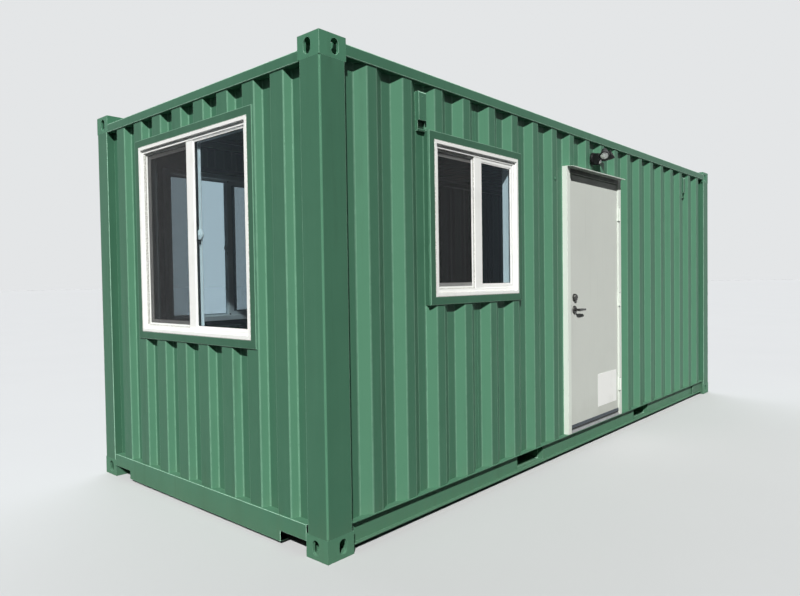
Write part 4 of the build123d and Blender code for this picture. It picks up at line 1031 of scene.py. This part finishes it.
class CABIN_OT_lamp(bpy.types.Operator):
    """Security lamp: cover, body with its sensor, and two heads on jointed arms"""

    bl_idname = "cabin.lamp"
    bl_label = "Lamp"

    def execute(self, context):
        cover, sensor = (0, -WALL_RECESS, 2.372), ((0, -1.246, 2.343), (0, -0.86, -0.5))
        black = [
            turning([(0, 0), (0.032, 0), (0.032, 0.0112), (0, 0.0112)], cover, OUT, 32),
            turning([(0, 0.011), (0.050, 0.011), (0.050, 0.024), (0.047, 0.030), (0.041, 0.033), (0, 0.033)],
                    cover, OUT, 40),
            self.body(),
            turning([(0, -0.01), (0.021, -0.01), (0.021, 0.007), (0.0195, 0.010), (0.0165, 0.010), (0.0165, 0.004),
                     (0, 0.004)], *sensor, 28),
        ]
        lenses = [turning([(0, 0.003), (0.0163, 0.003), (0.0150, 0.009), (0.0100, 0.0135), (0, 0.0155)], *sensor, 24)]
        start = Vector((0, -1.229, 2.365))
        arc = [math.radians(a) for a in range(0, 161, 20)]
        ball = [(max(0.0165 * math.sin(a), 0), -0.0165 * math.cos(a)) for a in arc] + [(0, 0.0165)]
        for neck, aim in (
            ((-0.035, -1.307, 2.422), (-0.66, -0.29, -0.69)),
            ((0.087, -1.241, 2.371), (0.22, -0.86, 0.46)),
        ):
            neck, aim = Vector(neck), Vector(aim).normalized()
            black.append(rod(start, neck, 0.0085, 14))
            black.append(turning(ball, neck, aim, 20))
            black.append(turning([(0, -0.006), (0.0125, -0.006), (0.0135, -0.003), (0.0135, 0.003), (0.0125, 0.006),
                                  (0, 0.006)], start.lerp(neck, 0.62), neck - start, 8))
            black.append(turning([
                (0, 0.0), (0.017, 0.0), (0.0215, 0.003), (0.0235, 0.010), (0.0245, 0.018), (0.0230, 0.0195),
                (0.0230, 0.0225), (0.0262, 0.024), (0.0275, 0.031), (0.0258, 0.0325), (0.0258, 0.0355),
                (0.0292, 0.037), (0.0312, 0.044), (0.0345, 0.056), (0.0368, 0.066), (0.0376, 0.070),
                (0.0378, 0.0845), (0.0370, 0.0858), (0.0342, 0.0858), (0.0330, 0.0805), (0.0322, 0.0775),
                (0, 0.0775)], neck, aim, 44))
            lenses.append(turning([
                (0, 0.0772), (0.0325, 0.0772), (0.0325, 0.0795), (0.0295, 0.0815), (0.0292, 0.0800),
                (0.0255, 0.0812), (0.0180, 0.0832), (0.0090, 0.0845), (0, 0.0850)], neck, aim, 44))
        place(black, "moulded_security_lamp", "plastic", "black_plastic", stands_for=["security_lamp"], angle=35)
        place(lenses, "security_lamp_lenses", "lens", "pane", angle=35)
        return {"FINISHED"}

    def body(self):
        """Block with a sunk front panel, eased all round."""
        block = bar((-0.028, -1.250, 2.320), (0.028, -1.207, 2.410))
        edit(block, "FACE")
        select(block, "faces", lambda f: f.normal.y < -0.9)
        bpy.ops.mesh.inset(thickness=0.009)
        bpy.ops.transform.translate(value=(0, 0.003, 0))
        leave_edit()
        return ease(block, 0.0035, 3)


class CABIN_OT_vents(bpy.types.Operator):
    """Ventilator hoods with a mesh behind their mouths"""

    bl_idname = "cabin.vents"
    bl_label = "Vents"

    def execute(self, context):
        low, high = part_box("vents")
        side, front, back, z0, z1 = 0.033, low.y, low.y + 0.030, low.z, high.z
        mouth, lip = z0 + 0.058, front + 0.012
        hood = bar((-side, front, mouth), (side, back, z1))
        edit(hood, "FACE")
        select(hood, "faces", lambda f: f.normal.z < -0.9)
        bpy.ops.mesh.inset(thickness=0.0022)
        bpy.ops.transform.translate(value=(0, 0, 0.024))
        leave_edit()
        ease(hood, 0.009, 3, lambda e: along(e, 0) and turned(e, 60) and e.verts[0].co.z > z1 - 0.001
             and e.verts[0].co.y < front + 0.001)
        ease(hood, 0.0015, 2, lambda e: turned(e, 60))
        metal = [
            hood,
            bar((-side, lip, z0 + 0.004), (-0.0308, back, mouth + 0.002), 0.0006, 1),
            bar((0.0308, lip, z0 + 0.004), (side, back, mouth + 0.002), 0.0006, 1),
            bar((-side, lip, z0), (side, back, z0 + 0.0055), 0.0012),
            bar((-side, lip, z0), (side, lip + 0.0022, z0 + 0.012), 0.0008),
            screw_head((0, front + 0.0002, z1 - 0.03), 0.0042),
            screw_head((0, front + 0.0002, mouth + 0.02), 0.0042),
        ]
        unit = join(metal, "vent")
        filter_mesh = bar((-0.031, back - 0.0045, z0 + 0.005), (0.031, back - 0.001, mouth + 0.001), 0.0005, 1)
        x = high.x - side
        turns = [Matrix.Translation((-x, 0, 0)), Matrix.Translation((x, 0, 0)),
                 HALF_TURN @ Matrix.Translation((-x, 0, 0))]
        place(copied(unit, turns), "louvred_vents", "steel", "green_paint", stands_for=["vents"])
        place(copied(filter_mesh, turns), "vent_filters", "vent_mesh", "green_paint")
        drop(unit, filter_mesh)
        return {"FINISHED"}


class CABIN_OT_stage(bpy.types.Operator):
    """Floor, backdrop, studio light and the camera"""

    bl_idname = "cabin.stage"
    bl_label = "Stage"

    def execute(self, context):
        scene = context.scene
        self.add_floor()
        self.add_backdrop(scene)
        key = bpy.data.lights.new("key", "SUN")
        key.angle = math.radians(1.5)
        key.energy = 4.7
        key.color = (1.0, 0.985, 0.96)
        self.hang(key, 49, 37, Vector((0, 0, 0)), 0)
        fill = bpy.data.lights.new("fill", "AREA")
        fill.shape = "SQUARE"
        fill.size = 7
        fill.energy = 70
        fill.color = (0.92, 0.96, 1.0)
        self.hang(fill, 92, 38, Vector((-0.8, 0, 1.2)), 14)
        scene.view_settings.view_transform = "Standard"
        self.add_camera(scene)
        return {"FINISHED"}

    def add_camera(self, scene):
        """Camera of the picture, with its focal length and width in pixels."""
        focal, width, sensor = 640.64, 800, 36
        heading, pitch, roll = -0.8433685, 1.5433361, -0.0146860
        camera = bpy.data.cameras.new("camera")
        camera.sensor_width = sensor
        camera.lens = focal * sensor / width
        camera.clip_end = 300
        holder = added("camera", camera)
        turn = Matrix.Rotation(heading, 4, "Z") @ Matrix.Rotation(pitch, 4, "X") @ Matrix.Rotation(roll, 4, "Z")
        holder.matrix_world = Matrix.Translation((-5.0879, -3.5459, 1.3838)) @ turn
        scene.camera = holder

    def add_floor(self):
        """Pale floor that throws only a little light back up."""
        clear_selection()
        bpy.ops.mesh.primitive_plane_add(size=400, location=(0, 0, -0.001))
        floor = bpy.context.object
        floor.name = "studio_floor"
        f = Finish("studio_floor")
        tone = f.mix(f.noise(0.6, 2.0), (0.644, 0.658, 0.670), (0.668, 0.682, 0.694))
        f.set(Base_Color=tone, Roughness=0.9, Specular_IOR_Level=0.0)
        shade = f.add("ShaderNodeBsdfDiffuse", {}, {"Color": (0.045, 0.045, 0.045)})
        floor.data.materials.append(f.show(f.blend(f.seen_rays(), shade, f.surface)))

    def add_backdrop(self, scene):
        """Pale to look at, and a soft glow from behind the cabin as light."""
        scene.world = bpy.data.worlds.new("studio")
        sky = Tree(scene.world)
        direction = sky.add("ShaderNodeTexCoord", output="Generated")
        behind = sky.add(
            "ShaderNodeVectorMath", {"operation": "DOT_PRODUCT"}, {0: direction, 1: (0.62, 0.74, 0.25)}, "Value")
        glow = sky.mix(behind.between(0.5, 1.0), (0.015, 0.017, 0.020), (2.0, 2.1, 2.25))
        soft, backdrop = (sky.add("ShaderNodeBackground", {}, {"Color": tone, "Strength": 1.0})
                          for tone in (glow, (0.775, 0.79, 0.80)))
        sky.add("ShaderNodeOutputWorld", {}, {"Surface": sky.blend(sky.seen_rays(), soft, backdrop)})

    def hang(self, light, azimuth, elevation, aim, distance):
        """Hangs a lamp so far from the place that it lights. Azimuth turns from the door side to the window end."""
        a, e = math.radians(azimuth), math.radians(elevation)
        away = Vector((-math.sin(a) * math.cos(e), -math.cos(a) * math.cos(e), math.sin(e)))
        holder = added(light.name, light)
        holder.location = aim + distance * away
        holder.rotation_euler = (-away).to_track_quat("-Z", "Y").to_euler()


class CABIN_PT_panel(bpy.types.Panel):
    bl_label = "Site cabin"
    bl_space_type = "VIEW_3D"
    bl_region_type = "UI"
    bl_category = "Cabin"

    def draw(self, context):
        for group in (context.scene.cabin_sizes, context.scene.cabin_colours):
            column = self.layout.column(align=True)
            for name in group.__annotations__:
                column.prop(group, name)
        for operator in OPERATORS:
            self.layout.operator(operator.bl_idname)


OPERATORS = (
    CABIN_OT_finishes,
    CABIN_OT_steel_frame,
    CABIN_OT_walls,
    CABIN_OT_roof,
    CABIN_OT_floor,
    CABIN_OT_windows,
    CABIN_OT_door,
    CABIN_OT_lamp,
    CABIN_OT_vents,
    CABIN_OT_stage,
)
CLASSES = (CabinSizes, CabinColours, *OPERATORS, CABIN_PT_panel)


def register():
    for cls in CLASSES:
        bpy.utils.register_class(cls)
    bpy.types.Scene.cabin_sizes = bpy.props.PointerProperty(type=CabinSizes)
    bpy.types.Scene.cabin_colours = bpy.props.PointerProperty(type=CabinColours)


def unregister():
    del bpy.types.Scene.cabin_colours
    del bpy.types.Scene.cabin_sizes
    for cls in reversed(CLASSES):
        bpy.utils.unregister_class(cls)


def main():
    register()
    bpy.ops.cabin.finishes()
    bpy.ops.cabin.steel_frame()
    bpy.ops.cabin.walls()
    bpy.ops.cabin.roof()
    bpy.ops.cabin.floor()
    bpy.ops.cabin.windows()
    bpy.ops.cabin.door()
    bpy.ops.cabin.lamp()
    bpy.ops.cabin.vents()
    bpy.ops.cabin.stage()


if __name__ == "__main__":
    main()
